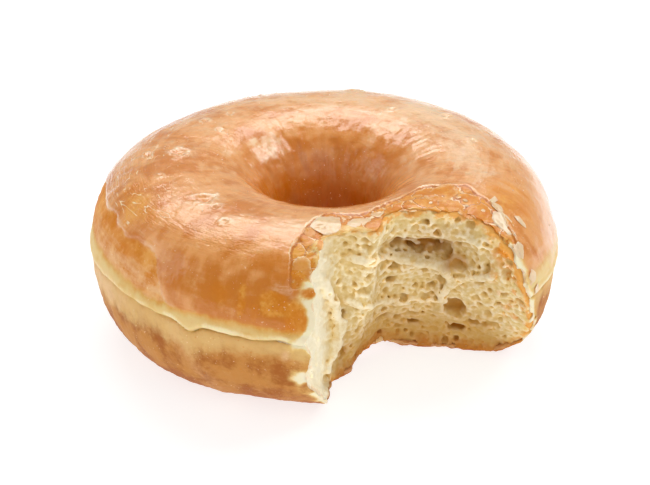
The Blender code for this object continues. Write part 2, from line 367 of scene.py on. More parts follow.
def skin_fields(azimuth, turn, points):
    """What the skin is like at each point: fields from 0 to 1, and its relief in millimetres."""
    facing_at = partial(facing, azimuth)
    z = points[:, 2]
    side, distance = bite_side(points)
    outside = np.abs(turn) < 90
    whole_turn = np.where(turn < -90, turn + 360, turn)
    edge_noise = FINE(points, 2.2)
    fine_noise = FINE(points, 0.9)
    broad = LUMPS.layers(points, 9.0)
    drawn = FLOW.layers(along_ring(azimuth, turn, 3.5), 2.2)
    falls = FLOW.layers(down_side(azimuth, turn, 5.0), 2.0) * smoothstep(150, 100, whole_turn)

    # The pale band at the proof line, the crease under it and the yellow ground below.
    crease_at = crease_height(azimuth, points)
    top_at = band_top(azimuth, points)
    band = outside * smoothstep(crease_at - 0.25, crease_at + 0.15, z)
    band = band * (1 - smoothstep(top_at - 2.0, top_at + 1.7, z + 0.5 * edge_noise + 0.35 * falls))
    uneven = 0.65 + 0.35 * smoothstep(-0.4, 0.4, FLOW(points + 5, 5.0))
    # The crease's mask sinks the relief and also paints a shade line along it.
    crease = outside * bump(z, crease_at - 0.05, 0.24) * uneven
    fold = outside * bump(z, crease_at - 0.15, 0.55)
    below_to = crease_at - 2.2 - 2.4 * facing_at(-122, 12) - 0.9 * FLOW(points * FLAT, 7.0)
    below_to = below_to - 2.4 * facing_at(-152, 20)
    below = z + 0.8 * edge_noise + 0.7 * falls + 0.6 * broad
    below = outside * smoothstep(below_to - 4.0, below_to + 2.0, below) * (z < crease_at + 0.1)

    # Where there is glaze, and the ridge at its lower edge.
    glaze_at = glaze_edge_turn(azimuth, points)
    in_hole = (whole_turn >= 90).astype(float)
    soft = 1.2 + 2.5 * facing_at(-110, 16)
    glaze = np.where(outside, smoothstep(-soft, soft, turn - glaze_at), 0.0) + in_hole
    glaze = glaze * smoothstep(250, 225, whole_turn)
    edge_ridge = outside * bump(turn, glaze_at + 1.3, 1.8) * (facing_at(-155, 30) + 0.6 * facing_at(130, 40))

    # The flaked ground between the break line and the bite, and the other bare crust.
    break_at = break_distance(side, points)
    on_top = smoothstep(14, 24, turn) * (turn < 165)
    beside = smoothstep(66, 56, np.abs(side + 3))
    flaked = smoothstep(0.25, -0.25, distance - break_at) * on_top * beside
    chip_wall, chip = chips(points, flaked)
    break_rim = bump(distance, break_at + 0.35, 0.25) * on_top * beside
    patch = bare_patches(azimuth, points, (0.30 * edge_noise, 0.12 * fine_noise)) * outside
    right_bare = 0.6 * smoothstep(0.30, 1.0, facing_at(-24, 17) * bump(turn, 58, 24) + 0.35 * falls)
    left_bare = facing_at(-158, 18) * bump(turn, 54, 16) + 0.35 * broad + 0.25 * edge_noise
    left_bare = 0.6 * smoothstep(0.35, 0.95, left_bare)
    bare = np.clip(np.maximum.reduce([flaked * (0.95 - 0.25 * chip), patch, right_bare, left_bare]), 0, 1)

    # Next to the bite the torn edge of the crust is pale.
    fringe = 0.4 + 2.0 * smoothstep(40, 60, side) * smoothstep(32, 28, z) + 1.3 * smoothstep(-48, -62, side)
    from_edge = distance - bite_reach(side, z) + hang(side, z)
    from_edge = from_edge + 1.1 * FLOW(points + 71, 4.0) + 0.9 * edge_noise
    torn = smoothstep(1.5 * fringe + 0.6, 0.1 * fringe, from_edge)
    torn = torn * (1 - patch) * (1 - 0.6 * on_top * (turn > 40)) * outside + 0.6 * torn * (1 - outside)
    torn = torn * (1 - 0.9 * smoothstep(7, 4, z) * smoothstep(42, 30, side))

    # Pale films, partly painted highlights, lie on the crown with streaky edges; down the sides the glaze is
    # clear.
    pit_rim, pit_depth = pits(points)
    film_and_highlight = np.zeros(len(z))
    for at, about, wide, tall, strength in PALE_FILMS_AND_HIGHLIGHTS:
        off = np.hypot(away(azimuth, at) / wide, (turn - about) / tall)
        film_and_highlight = np.maximum(film_and_highlight, strength * smoothstep(1.25, 0.45, off + 0.55 * drawn + 0.25 * edge_noise))
    up = smoothstep(30, 75, whole_turn) * smoothstep(150, 118, whole_turn)
    # Painted highlight: a bright patch on the hole's left wall.
    pale_highlight = facing_at(136, 15) * bump(turn, 128, 17) + 0.30 * edge_noise + 0.25 * drawn
    hole_wall_highlight = facing_at(40, 30) * bump(turn, 140, 18) + 0.45 * broad + 0.3 * edge_noise
    crown_back_sheen = facing_at(75, 80) * bump(turn, 72, 30)
    # Haze: milky glaze, with painted sheen on the crown and its back, painted highlights on the hole's walls
    # and the back right of the crown, and painted reflection low on the left and right sides.
    haze = (0.10 * up + 0.42 * crown_back_sheen + 0.14 * np.clip(broad, -1, 1) * up + 0.14 * drawn * up
            + 0.45 * facing_at(-150, 34) * bump(turn, 14, 14) * (1 - glaze)
            + 0.15 * facing_at(-10, 40) * bump(turn, 16, 12) + 0.45 * film_and_highlight
            + 0.75 * smoothstep(0.30, 0.75, pale_highlight) * (0.75 + 0.5 * fine_noise + 0.4 * edge_noise)
            + 0.25 * facing_at(45, 28) * bump(turn, 95, 25) + 0.22 * smoothstep(0.4, 0.9, hole_wall_highlight)
            + 0.4 * pit_rim + 0.35 * edge_ridge)
    haze = np.clip(haze, 0, 1) * np.clip(glaze + (turn > -3), 0, 1) * (1 - 0.9 * bare)

    # Darker crust: browner low on the sides and under the ring, with painted shade down the hole and at the
    # foot.
    dark = smoothstep(126, 192, whole_turn + 14 * broad) * in_hole * smoothstep(262, 215, whole_turn)
    foot = outside * smoothstep(9, 1.0, z) + (whole_turn > 215) * 0.6
    dark = dark + 0.5 * foot + 0.45 * outside * smoothstep(4.0, 0.6, z)
    lower = outside * smoothstep(crease_at + 0.2, crease_at - 0.8, z)
    lower = np.maximum(lower, smoothstep(225, 250, whole_turn))
    mottle = smoothstep(-0.8, 0.8, LUMPS.layers(points + 23, 6.0) + 0.3 * falls + 0.04 * (z - 8))

    # Milky glaze: a drip down the front of the lower side, leaning with the height, and two washes on the
    # left and right sides, which are partly painted reflection at those edges.
    drip = bump(away(azimuth, -128 + 8.5 * smoothstep(19, 3, z)), 0, 4.2 + 0.8 * FINE(points, 3.0))
    drip = 0.55 * drip * (z < crease_at - 0.5) * outside
    spot = facing_at(-99.5, 1.3) * bump(z, 17.2, 1.5) * outside
    left_milk = facing_at(-165, 28) * bump(z, 17.5, 6.0) + 0.25 * edge_noise + 0.2 * broad
    right_milk = facing_at(-15, 24) * bump(z, 22.5, 4.0) + 0.3 * edge_noise + 0.2 * broad
    side_milk = 0.6 * smoothstep(0.3, 1.1, left_milk) + 0.6 * smoothstep(0.4, 1.1, right_milk)
    milk = np.clip(0.6 * drip + 0.6 * spot + side_milk, 0, 1) * smoothstep(-95, -60, turn)

    # Wrinkles and folds, and the relief of all the above.
    in_wall = smoothstep(112, 135, whole_turn) * smoothstep(235, 215, whole_turn)
    folds = FLOW.layers(down_side(azimuth, turn, 1.4) + 13, 7.0)
    crest = bump(turn, 113, 8) * smoothstep(-10, 20, azimuth) * smoothstep(146, 116, azimuth)
    shoulder = bump(turn, 55, 18) * (facing_at(-178, 36) + 0.30) + 0.35 * bump(turn, 84, 22)
    wrinkles = 1 - 2 * np.abs(FLOW(along_ring(azimuth, turn, 3.0), 1.9))
    crown = bump(turn, 88, 45)
    off_crease = smoothstep(1.5, 4, np.abs(z - crease_at))
    grit = FINE.layers(points + 3, 1.2)
    relief = 0.20 * LUMPS(points, 13.0) + 0.11 * LUMPS(points + 40, 6.0) + 0.045 * FINE(points, 2.6)
    relief = (relief * smoothstep(0.0, 5.0, z) - 0.22 * smoothstep(0.0, 2.0, z)
              + 0.26 * glaze + 0.03 * drawn * crown * glaze + 0.03 * falls * outside * glaze
              + 0.05 * FINE(points + 60, 3.4) * crown + 0.10 * wrinkles * shoulder * (1 - 0.6 * bare)
              + (0.26 * folds + 0.12 * edge_noise) * in_wall * smoothstep(3, 9, z)
              + 0.20 * FINE.layers(down_side(azimuth, turn, 1.3) + 9, 2.4) * crest
              + 0.10 * FINE.layers(points, 1.3) * outside * (1 - glaze) * off_crease
              + 0.16 * edge_ridge
              - 0.42 * flaked + 0.12 * break_rim - 0.12 * patch - 0.08 * left_bare - 0.05 * right_bare
              + (0.34 * chip - 0.10 * bump(chip_wall, 0, 0.22) + 0.06 * grit) * flaked
              + 0.05 * band * FINE.layers(points + 31, 1.6)
              - pit_depth + 0.18 * pit_rim + 0.05 * film_and_highlight
              + 0.50 * band * (0.5 + 0.5 * bump(z, crease_at + 1.0, 1.4)) - 0.45 * crease - 0.22 * fold
              + 0.20 * milk + 0.09 * FINE(points, 1.6) * lower * smoothstep(1, 4, z)
              + 0.45 * facing_at(-120, 3.2) * bump(z, 4.2, 1.6)
              + 0.25 * EDGES.layers(points, 1.8) * torn)
    tone = (0.55 - 0.80 * facing_at(-105, 26) * smoothstep(60, 20, turn) * outside
            + 0.25 * facing_at(10, 55) * outside
            + 0.55 * broad + 0.22 * drawn * up + 0.25 * falls * (1 - up) + 0.25 * edge_noise)
    pale = np.clip(np.maximum.reduce([torn, band, 0.6 * milk]), 0, 1)
    glaze = np.clip(glaze, 0, 1)
    gloss = glaze * (1 - pale) * (1 - 0.75 * bare) * (1 - 0.8 * smoothstep(130, 165, whole_turn))
    return {
        "relief": relief, "glaze": glaze, "gloss": gloss, "haze": haze, "bare": bare, "band": band,
        "below": below, "crease": crease, "lower": lower, "dark": np.clip(dark, 0, 1), "milk": milk,
        "torn": np.clip(torn, 0, 1), "gap": np.clip(0.5 + (distance - break_at) / GAP_RANGE, 0, 1),
        "breaking": on_top * beside, "tone": np.clip(tone, 0, 1), "mottle": mottle, "in_hole": in_wall * 0.8,
        # Painted highlight along the band's bulge just above the crease.
        "pale_highlight": outside * bump(z, crease_at + 0.8, 0.8) * (0.6 + 0.6 * FLOW(points * FLAT + 90, 4.0)),
        # Pale rims of pits, and painted glints along the crest at the back of the hole.
        "crack": np.clip(0.5 * pit_rim + 0.2 * crest * smoothstep(0.0, 0.5, falls), 0, 1),
        "wrinkled": np.clip(shoulder + 0.3 * crest + 0.5 * left_bare, 0, 1),
    }


FIELDS = ("glaze", "gloss", "haze", "bare", "band", "below", "crease", "lower", "dark", "milk", "torn",
          "broken", "crack", "tone", "mottle", "in_hole", "wrinkled", "gap", "breaking", "pale_highlight", "cut")


def dress(made, azimuth, turn, **fields):
    """Puts the skin's fields, and the coordinates that its noise is drawn out along, on a piece."""
    for name in FIELDS:
        set_field(made, name, fields.get(name, np.zeros(len(azimuth))))
    for name, drawn_out in (("along_ring", along_ring), ("down_side", down_side)):
        field = made.data.attributes.new(name, "FLOAT_VECTOR", "POINT")
        field.data.foreach_set("vector", (drawn_out(azimuth, turn) * 0.001).astype(np.float32).ravel())


# ---------------------------------------------------------------- meshes


def add_to_scene(name, data):
    made = bpy.data.objects.new(name, data)
    bpy.context.scene.collection.objects.link(made)
    return made


def mesh_object(name, points, faces, material, smooth=True):
    """An object from points in mm about the ring's middle, and faces with equal numbers of corners."""
    mesh = bpy.data.meshes.new(name)
    faces = np.asarray(faces, np.int32)
    mesh.vertices.add(len(points))
    mesh.loops.add(faces.size)
    mesh.polygons.add(len(faces))
    world = (np.asarray(points, float) + RING_MIDDLE) * 0.001
    mesh.vertices.foreach_set("co", world.astype(np.float32).ravel())
    mesh.loops.foreach_set("vertex_index", faces.ravel())
    mesh.polygons.foreach_set("loop_start", np.arange(len(faces), dtype=np.int32) * faces.shape[1])
    mesh.polygons.foreach_set("use_smooth", np.full(len(faces), smooth))
    mesh.update(calc_edges=True)
    mesh.validate()
    mesh.materials.append(material)
    return add_to_scene(name, mesh)


def points_of(made):
    """The piece's points in mm about the ring's middle."""
    flat = np.zeros(len(made.data.vertices) * 3, np.float32)
    made.data.vertices.foreach_get("co", flat)
    return flat.reshape(-1, 3).astype(float) * 1000 - RING_MIDDLE


def set_field(made, name, values):
    field = made.data.attributes.new(name, "FLOAT", "POINT")
    field.data.foreach_set("value", np.asarray(values, np.float32))


def face_points(cells, values):
    """Where the surface crosses each cell: the mean of the crossings on the cell's twelve edges."""
    total, hits = np.zeros((len(cells), 3)), np.zeros(len(cells))
    for axis in range(3):
        for i in range(4):
            offset = np.zeros(3, int)
            offset[(axis + 1) % 3], offset[(axis + 2) % 3] = i & 1, i >> 1
            start = cells + offset
            end = start.copy()
            end[:, axis] += 1
            first, second = values[tuple(start.T)], values[tuple(end.T)]
            crossed = (first > 0) != (second > 0)
            share = np.where(crossed, first / np.where(crossed, first - second, 1), 0)
            spot = np.repeat(offset[None].astype(float), len(cells), 0)
            spot[:, axis] += share
            total[crossed] += spot[crossed]
            hits += crossed
    return total / hits[:, None]


def surface_nets(values, origin, step):
    """The surface where values pass zero, as points and quads that face away from the positive side."""
    solid = values > 0
    near = [slice(0, -1), slice(1, None)]
    count = np.zeros([n - 1 for n in values.shape], np.int8)
    for i, j, k in CORNERS:
        count += solid[near[i], near[j], near[k]]
    mixed = (count > 0) & (count < 8)
    cells = np.argwhere(mixed)
    number = np.full(mixed.shape, -1, np.int32)
    number[mixed] = np.arange(len(cells))
    points = np.asarray(origin) + (cells + face_points(cells, values)) * step
    quads = []
    for axis in range(3):
        second, third = (axis + 1) % 3, (axis + 2) % 3
        here, ahead = [slice(1, -1)] * 3, [slice(1, -1)] * 3
        here[axis], ahead[axis] = near
        here, ahead = solid[tuple(here)], solid[tuple(ahead)]
        for flags, turned in ((here & ~ahead, 1), (~here & ahead, -1)):
            at = np.argwhere(flags)
            corners = []
            for one, two in ((0, 0), (1, 0), (1, 1), (0, 1)):
                spot = at.copy()
                spot[:, second] += one
                spot[:, third] += two
                corners.append(number[tuple(spot.T)])
            quads.append(np.stack(corners, 1)[:, ::turned])
    return points, np.concatenate(quads)


def keep_largest(points, faces):
    """Drops every part that isn't joined to the largest one."""
    label = np.arange(len(points))
    pairs = np.concatenate([faces[:, [i, (i + 1) % faces.shape[1]]] for i in range(faces.shape[1])])
    while True:
        least = np.minimum(label[pairs[:, 0]], label[pairs[:, 1]])
        before = label.copy()
        np.minimum.at(label, pairs[:, 0], least)
        np.minimum.at(label, pairs[:, 1], least)
        label = label[label]
        if np.array_equal(label, before):
            break
    names, sizes = np.unique(label, return_counts=True)
    kept = label == names[np.argmax(sizes)]
    number = np.cumsum(kept) - 1
    return points[kept], number[faces[kept[faces[:, 0]]]]


def grid_points(lowest, highest, step):
    """(points, shape) of a grid that reaches from lowest to highest."""
    shape = [int(math.ceil((b - a) / step)) + 1 for a, b in zip(lowest, highest)]
    axes = [a + np.arange(n, dtype=np.float32) * step for a, n in zip(lowest, shape)]
    return np.stack(np.meshgrid(*axes, indexing="ij"), -1).reshape(-1, 3), shape


def closed(volume):
    """The volume with its outer cells empty, so that its surface closes."""
    volume[[0, -1]], volume[:, [0, -1]], volume[:, :, [0, -1]] = -1, -1, -1
    return volume


def take_modifiers(made):
    """Makes the piece's mesh what its modifiers turn it into."""
    graph = bpy.context.evaluated_depsgraph_get()
    mesh = bpy.data.meshes.new_from_object(made.evaluated_get(graph))
    made.modifiers.clear()
    made.data = mesh


def thin_out(made, plain, ratio):
    """Collapses the points that plain marks from 0 to 1, down to a share of the piece's triangles."""
    group = made.vertex_groups.new(name="plain")
    steps = np.round(np.clip(plain, 0, 1) * 4).astype(int)
    for step in range(1, 5):
        group.add(np.where(steps == step)[0].tolist(), step / 4, "REPLACE")
    fewer = made.modifiers.new("fewer", "DECIMATE")
    fewer.ratio, fewer.vertex_group, fewer.use_collapse_triangulate = ratio, "plain", True
    take_modifiers(made)
    made.vertex_groups.clear()


# ---------------------------------------------------------------- the crust

FRONT_SPACING, BACK_SPACING, UNDER_SPACING = 0.48, 0.80, 1.6  # mm between the skin's points
MEAN_RADIUS = 40  # mm, for the spacing round the ring
LIP = 0.8  # mm of crust that stands round the bite before the crumb begins
CUTTER_STEP = 0.42
CUTTER_FROM, CUTTER_TO = (-14, -53, -2), (48, -2, 40.5)
POCKET_DEPTH = 9.0  # mm behind the bitten face that the crust leaves empty for the crumb
POCKET_SIDES = 70  # degrees of side that the pocket reaches to
CUTTER_KEPT, CRUMB_KEPT = 0.45, 0.62  # shares of the triangles that thinning leaves
SHARP_CRUST, SHARP_PLATE = math.radians(60), math.radians(40)  # sharper edges aren't shaded smooth
TEAR = Noise(21)


def spaced(start, end, spacing):
    """Values from start to end, as far apart as spacing(value) says."""
    fine = np.linspace(start, end, 4000)
    rate = 1 / spacing(fine)
    total = np.concatenate([[0], np.cumsum((rate[1:] + rate[:-1]) / 2 * np.diff(fine))])
    return np.interp(np.linspace(0, total[-1], int(total[-1]) + 1)[:-1], total, fine)


def skin_grid():
    """The azimuths and turns of the skin's points, closer together on the side that faces the camera."""

    def around(azimuth):
        front = smoothstep(-200, -186, azimuth) * smoothstep(2, -12, azimuth)
        return (BACK_SPACING + (FRONT_SPACING - BACK_SPACING) * front) / (math.radians(1) * MEAN_RADIUS)

    nominal = np.linspace(-100, 260, 7200)
    path = skin(np.full(len(nominal), -120.0), nominal)
    length = np.concatenate([[0], np.cumsum(np.linalg.norm(np.diff(path, axis=0), axis=1))])

    def along(at):
        turn = np.interp(at, length, nominal)
        seen = smoothstep(-78, -58, turn) * smoothstep(212, 190, turn)
        return (UNDER_SPACING + (FRONT_SPACING - UNDER_SPACING) * seen) * (1 - 0.35 * bump(turn, 3, 7))

    return spaced(-270, 90, around), np.interp(spaced(0, length[-1], along), length, nominal)


def make_skin():
    """The whole ring's skin, closed, as points and faces."""
    azimuths, turns = skin_grid()
    rows, columns = len(azimuths), len(turns)
    azimuth, turn = np.repeat(azimuths, columns), np.tile(turns, rows)
    base = skin(azimuth, turn)
    grid = base.reshape(rows, columns, 3)
    round_ring, round_section = (np.roll(grid, -1, axis) - np.roll(grid, 1, axis) for axis in (0, 1))
    normal = np.cross(round_ring, round_section)
    normal /= np.linalg.norm(normal, axis=2)[:, :, None] + 1e-9
    relief = skin_fields(away(azimuth, 0), away(turn, 0), base)["relief"]
    points = base + normal.reshape(-1, 3) * relief[:, None]
    points[:, 2] = np.maximum(points[:, 2], 0)
    number = np.arange(rows * columns).reshape(rows, columns)
    after, above = np.roll(number, -1, 0), np.roll(number, -1, 1)
    return points, np.stack([number, after, np.roll(after, -1, 1), above], -1).reshape(-1, 4)


def torn_back(side, height):
    """How much further than the bitten face the crust has come away, in mm."""
    top = smoothstep(27, 33, height)
    left = smoothstep(34, 46, side)
    back = 0.3 * (1 - left) + 0.4 * top * (1 - left) + 1.6 * bump(side, -43, 11) * smoothstep(25, 32, height)
    back = back - 0.3 * smoothstep(4.5, 1.0, height) * smoothstep(42, 26, side)
    return back - 2.0 * bump(side, 27, 10) * top + 0.8 * smoothstep(-50, -64, side) - hang(side, height)


def make_cutter():
    """What leaves the crust round the bite: the bite, and a deeper pocket inside the lip for the crumb."""
    flat, shape = grid_points(CUTTER_FROM, CUTTER_TO, CUTTER_STEP)
    side, distance = bite_side(flat)
    opening = bite_reach(side, flat[:, 2]) - distance + torn_back(side, flat[:, 2])
    close = np.abs(opening) < 5
    near, right, left = flat[close], smoothstep(-40, -54, side[close]), smoothstep(30, 44, side[close])
    ragged = np.zeros(len(flat), np.float32)
    ragged[close] = 0.9 * TEAR(near, 5.0) + 0.65 * TEAR(near + 8, 2.2) + 0.50 * TEAR(near + 5, 1.1)
    ragged[close] *= 1 + 0.9 * right - 0.35 * left
    ragged[close] += 0.5 * right * TEAR(near + 11, 1.5)
    opening = opening + ragged
    in_crust = place_in_section(flat)[2] - LIP - 0.8 * smoothstep(6, 2, flat[:, 2])
    pocket = np.minimum.reduce([opening + POCKET_DEPTH, in_crust * 0.9, POCKET_SIDES - np.abs(side)])
    cut = closed(np.maximum(opening, pocket).reshape(shape))
    return keep_largest(*surface_nets(cut, flat[0], CUTTER_STEP))


def make_crust(material):
    crust = mesh_object("crust", *make_skin(), material)
    cutter = mesh_object("cutter", *make_cutter(), material)
    depth = place_in_section(points_of(cutter))[2]
    thin_out(cutter, smoothstep(1.2, 2.2, np.abs(depth)), CUTTER_KEPT)
    cut = crust.modifiers.new("bite", "BOOLEAN")
    cut.operation, cut.solver, cut.object = "DIFFERENCE", "MANIFOLD", cutter
    take_modifiers(crust)
    bpy.data.objects.remove(cutter)
    crust.data.set_sharp_from_angle(angle=SHARP_CRUST)
    points = points_of(crust)
    azimuth, turn, depth = place_in_section(points)
    fields = skin_fields(azimuth, turn, points)
    fields["cut"] = smoothstep(0.12, 0.7, depth + fields.pop("relief"))
    dress(crust, azimuth, turn, **fields)
    return crust


# ---------------------------------------------------------------- the crumb

CRUMB_STEP = 0.265
CRUMB_FROM, CRUMB_TO = np.array([-10.0, -52.0, -0.6]), (46, -4, 38.5)  # the grid's corners
CRUMB_SKIN = 0.5  # mm below the skin where the crumb begins
SLAB, SLAB_SIDES = 5.0, 74  # mm that the crumb goes in behind the bitten face, and degrees of side
POROUS = Noise(31)
# Larger holes: (side, height, half width, half height, half depth in mm).
HOLES = ((-34, 12.6, 2.4, 2.8, 2.6), (-34, 6.6, 1.7, 1.2, 2.9), (-19, 7.4, 1.2, 0.8, 2.0),
         (6, 21.6, 3.2, 1.3, 1.2), (6, 25.0, 1.2, 0.9, 1.1), (8, 28.6, 0.9, 0.7, 1.2),
         (11, 31.6, 1.5, 0.5, 1.2), (16, 30.4, 0.8, 0.4, 1.1), (-9, 23.9, 1.1, 1.1, 1.7),
         (-8, 20.4, 1.1, 0.8, 1.6), (-5, 25.8, 1.1, 0.5, 0.7), (-13, 24.4, 0.8, 0.5, 0.7),
         (-20, 27.0, 1.0, 0.9, 1.6), (-27, 28.0, 1.6, 0.8, 1.7), (-31, 26.4, 1.1, 0.8, 1.8),
         (-37, 24.6, 1.7, 1.1, 1.4), (-38, 30.5, 0.7, 0.7, 0.8), (-22, 22.6, 0.7, 1.1, 1.2),
         (-29, 20.6, 1.0, 1.5, 1.4), (-25, 18.4, 0.8, 0.8, 1.4), (-25, 16.4, 0.7, 0.7, 1.4),
         (-14, 15.2, 1.2, 0.5, 1.0), (-19, 14.4, 0.9, 0.8, 1.2), (-42, 16.0, 0.9, 0.9, 1.1),
         (-7, 12.6, 0.9, 0.8, 1.4), (-7, 10.2, 1.6, 1.2, 1.5), (2, 10.4, 1.9, 1.1, 1.8),
         (-18, 10.2, 1.8, 1.1, 1.1), (-22, 10.4, 0.6, 0.6, 1.5), (-40, 8.8, 1.7, 0.8, 1.4),
         (-46, 9.0, 1.6, 1.3, 1.0), (-50, 26.0, 0.7, 1.9, 1.3), (-59, 24.6, 0.9, 1.8, 1.3),
         (-52, 15.6, 0.9, 0.5, 1.1), (18, 16.6, 0.9, 1.0, 1.6), (18, 12.0, 0.9, 1.1, 1.6),
         (15, 7.0, 1.4, 1.2, 1.9), (-37, 19.6, 0.9, 0.7, 1.0), (-12, 29.4, 2.6, 0.7, 2.0),
         (-17, 27.7, 0.9, 0.6, 1.2), (-22, 28.5, 1.0, 0.7, 1.3), (-27, 27.0, 1.1, 0.7, 1.3),
         (-24, 26.6, 0.6, 0.5, 1.0), (-31, 28.6, 0.9, 0.7, 1.1), (-15, 28.7, 0.7, 0.5, 1.1),
         (-20, 27.0, 0.6, 0.4, 0.9))
# Folds of crumb that stand out: (side and height at the start and at the end, half thickness, how far out).
FOLDS = ((16, 29.3, -4, 27.0, 0.9, 0.5), (-4, 27.0, -20, 25.6, 1.2, 0.7), (-20, 25.6, -31, 24.4, 1.2, 0.8),
         (-31, 24.4, -34, 20.4, 1.1, 0.7), (-34, 20.4, -29, 15.8, 0.9, 0.4),
         (17, 19.6, -13, 14.4, 0.8, 0.35), (-13, 14.4, -31, 14.6, 0.8, 0.3),
         (-36, 21.0, -52, 23.5, 1.0, 0.5), (31, 25.0, 24, 20.5, 1.3, 0.3), (24, 20.5, 19.5, 15.0, 1.4, 0.4),
         (19.5, 15.0, 20.5, 10.5, 1.4, 0.4), (20.5, 10.5, 25, 5.5, 1.2, 0.3))
# Hollows of the bitten face: (side, height, half width in degrees, half height, depth).
HOLLOWS = ((-13, 28.9, 7, 0.8, 1.3), (-24, 27.7, 7, 0.9, 0.7), (-28, 30.0, 17, 2.1, -3.3),
           (-36, 25.6, 6, 1.6, 0.8), (0, 22.5, 12, 3.5, 0.7), (-22, 20.0, 9, 3.0, 0.7),
           (-44, 33.5, 9, 3.5, 1.6), (-20, 8.0, 18, 3.0, 0.7), (-48, 28.5, 12, 2.6, -2.4))
ARC = math.radians(1) * 27  # mm on the bitten face for each degree of side
# Cups that the tear has opened: (tries, least and most radius in mm).
CUPS = ((20, 1.0, 1.4), (130, 0.70, 1.0), (900, 0.48, 0.70), (13000, 0.32, 0.48))
SHALLOW_SHARE = 0.4  # of the cups, which are only dishes
CUP_WALL = 0.12  # mm between two cups
CUP_WIDE, CUP_TALL = 1.06, 0.94  # a cup is a little wider than it is tall
CUP_SEED = 32
# Where cups are smaller or missing: (side, height, half width in degrees, half height, how much).
DENSE = ((-10, 26.4, 22, 1.0, 0.35), (-48, 12.0, 10, 7.0, 0.35), (-34, 18.0, 4, 4.0, 0.3),
         (-52, 24, 8, 6, 0.25), (60, 18.0, 30, 30.0, 0.35), (-5, 15.2, 20, 0.8, 0.25))
# Painted brown shade in the hollows: (side, height, half width in degrees, half height, strength, only in
# holes).
SHADES = ((-26, 28.6, 16, 1.8, 0.38, False), (-28, 31.5, 20, 3.0, 0.30, False),
          (-36, 25.0, 7, 1.8, 0.6, False), (-34, 12.0, 6, 3.4, 0.6, True), (-34, 6.6, 5, 1.6, 0.9, True))


def face_reach(side, height):
    """How far the crumb's face, hollows and all, is from the bite's axis."""
    reach = bite_reach(side, height)
    for at, level, wide, tall, depth in HOLLOWS:
        reach = reach + depth * bump(side, at, wide) * bump(height, level, tall)
    return reach


def face_frame(side, height):
    """A point on the bitten face and its directions: across, up and inwards."""
    angle = math.radians(BITE_INWARDS + side)
    inwards = np.array([math.cos(angle), math.sin(angle), 0])
    reach = float(face_reach(np.array([float(side)]), np.array([float(height)]))[0])
    middle = np.array([*BITE_AXIS, height]) + reach * inwards
    return middle, np.array([[-inwards[1], inwards[0], 0], [0, 0, 1.0], inwards])


def smooth_least(one, two, blend):
    """The lesser of two distances, rounded where they meet."""
    mix = np.clip(0.5 + 0.5 * (two - one) / blend, 0, 1)
    return two + (one - two) * mix - blend * mix * (1 - mix)


def scatter_cups(draw):
    """Round cups that keep clear of each other, large ones first: (side, height, half axes, depth)."""
    across, level, radius = np.zeros(0), np.zeros(0), np.zeros(0)
    cups = []
    for tries, least, most in CUPS:
        spots = draw.uniform((-66, 0.8, least, 0), (62, 36.2, most, 1), (tries, 4))
        for side, height, size, chance in spots:
            dense = 1.0
            for at, up_at, wide, tall, share in DENSE:
                dense -= share * math.exp(-(((side - at) / wide) ** 2) - ((height - up_at) / tall) ** 2)
            if size > 0.35 and chance > dense or size > 0.5 + 1.2 * dense:
                continue
            u, v = side * ARC / CUP_WIDE, (height + 0.10 * side * ARC) / CUP_TALL
            if len(radius) and (np.hypot(across - u, level - v) < radius + size + CUP_WALL).any():
                continue
            across, level, radius = np.append(across, u), np.append(level, v), np.append(radius, size)
            flat = 1.0 - 0.20 * math.exp(-(((height - 8) / 9) ** 2))
            depths = (0.5, 0.8) if draw.uniform() < SHALLOW_SHARE else (0.8, 1.3)
            deep = size * draw.uniform(*depths) * (1 - 0.5 * float(smoothstep(2, 30, side)))
            half_axes = (size * CUP_WIDE * flat, size * CUP_TALL / flat, deep)
            cups.append((side, height, *half_axes, draw.uniform(-0.1, 0.3) * deep))
    return cups


def carve(solid, near, lookup, cups, warp, blend):
    """Takes rounded cups out of the solid: (side, height, half axes across, up and in, depth).

    The depth is measured from where the solid's surface is before any cup is taken."""
    shape = np.array(lookup.shape)
    before = solid.copy()
    for side, height, *half_axes, depth in cups:
        middle, directions = face_frame(side, height)
        cell = np.round((middle - CRUMB_FROM) / CRUMB_STEP).astype(int)
        if (cell < 0).any() or (cell >= shape).any() or lookup[tuple(cell)] < 0:
            continue
        stands_out = min(max(float(before[lookup[tuple(cell)]]), -1.6), 1.6)
        middle = middle + (depth - stands_out) * directions[2]
        big = max(half_axes) + 0.8
        first = np.maximum(np.floor((middle - big - CRUMB_FROM) / CRUMB_STEP).astype(int), 0)
        last = np.minimum(np.ceil((middle + big - CRUMB_FROM) / CRUMB_STEP).astype(int) + 1, shape)
        if (last <= first).any():
            continue
        index = lookup[tuple(slice(start, end) for start, end in zip(first, last))].ravel()
        index = index[index >= 0]
        if not len(index):
            continue
        off = near[index] + warp[index] - middle
        parts = [off @ direction / half for direction, half in zip(directions, half_axes)]
        share = np.sqrt(parts[0] ** 2 + parts[1] ** 2 + parts[2] ** 2)
        solid[index] = smooth_least(solid[index], (share - 1) * min(half_axes), blend)


def lay_folds(solid, side, height, depth, rough):
    """Adds the folds of crumb that stand out, as rough tubes along the bitten face."""
    across = side * ARC
    for start_side, start_height, end_side, end_height, thick, out in FOLDS:
        start = np.array([start_side * ARC, start_height])
        line = np.array([end_side * ARC, end_height]) - start
        share = ((across - start[0]) * line[0] + (height - start[1]) * line[1]) / (line @ line)
        share = np.clip(share, 0, 1)
        off = np.hypot(across - start[0] - share * line[0], height - start[1] - share * line[1])
        tube = thick - np.sqrt(off**2 + (depth + out + 0.6 * rough) ** 2) + 0.5 * rough
        solid = -smooth_least(-solid, -tube, 0.9)
    return solid


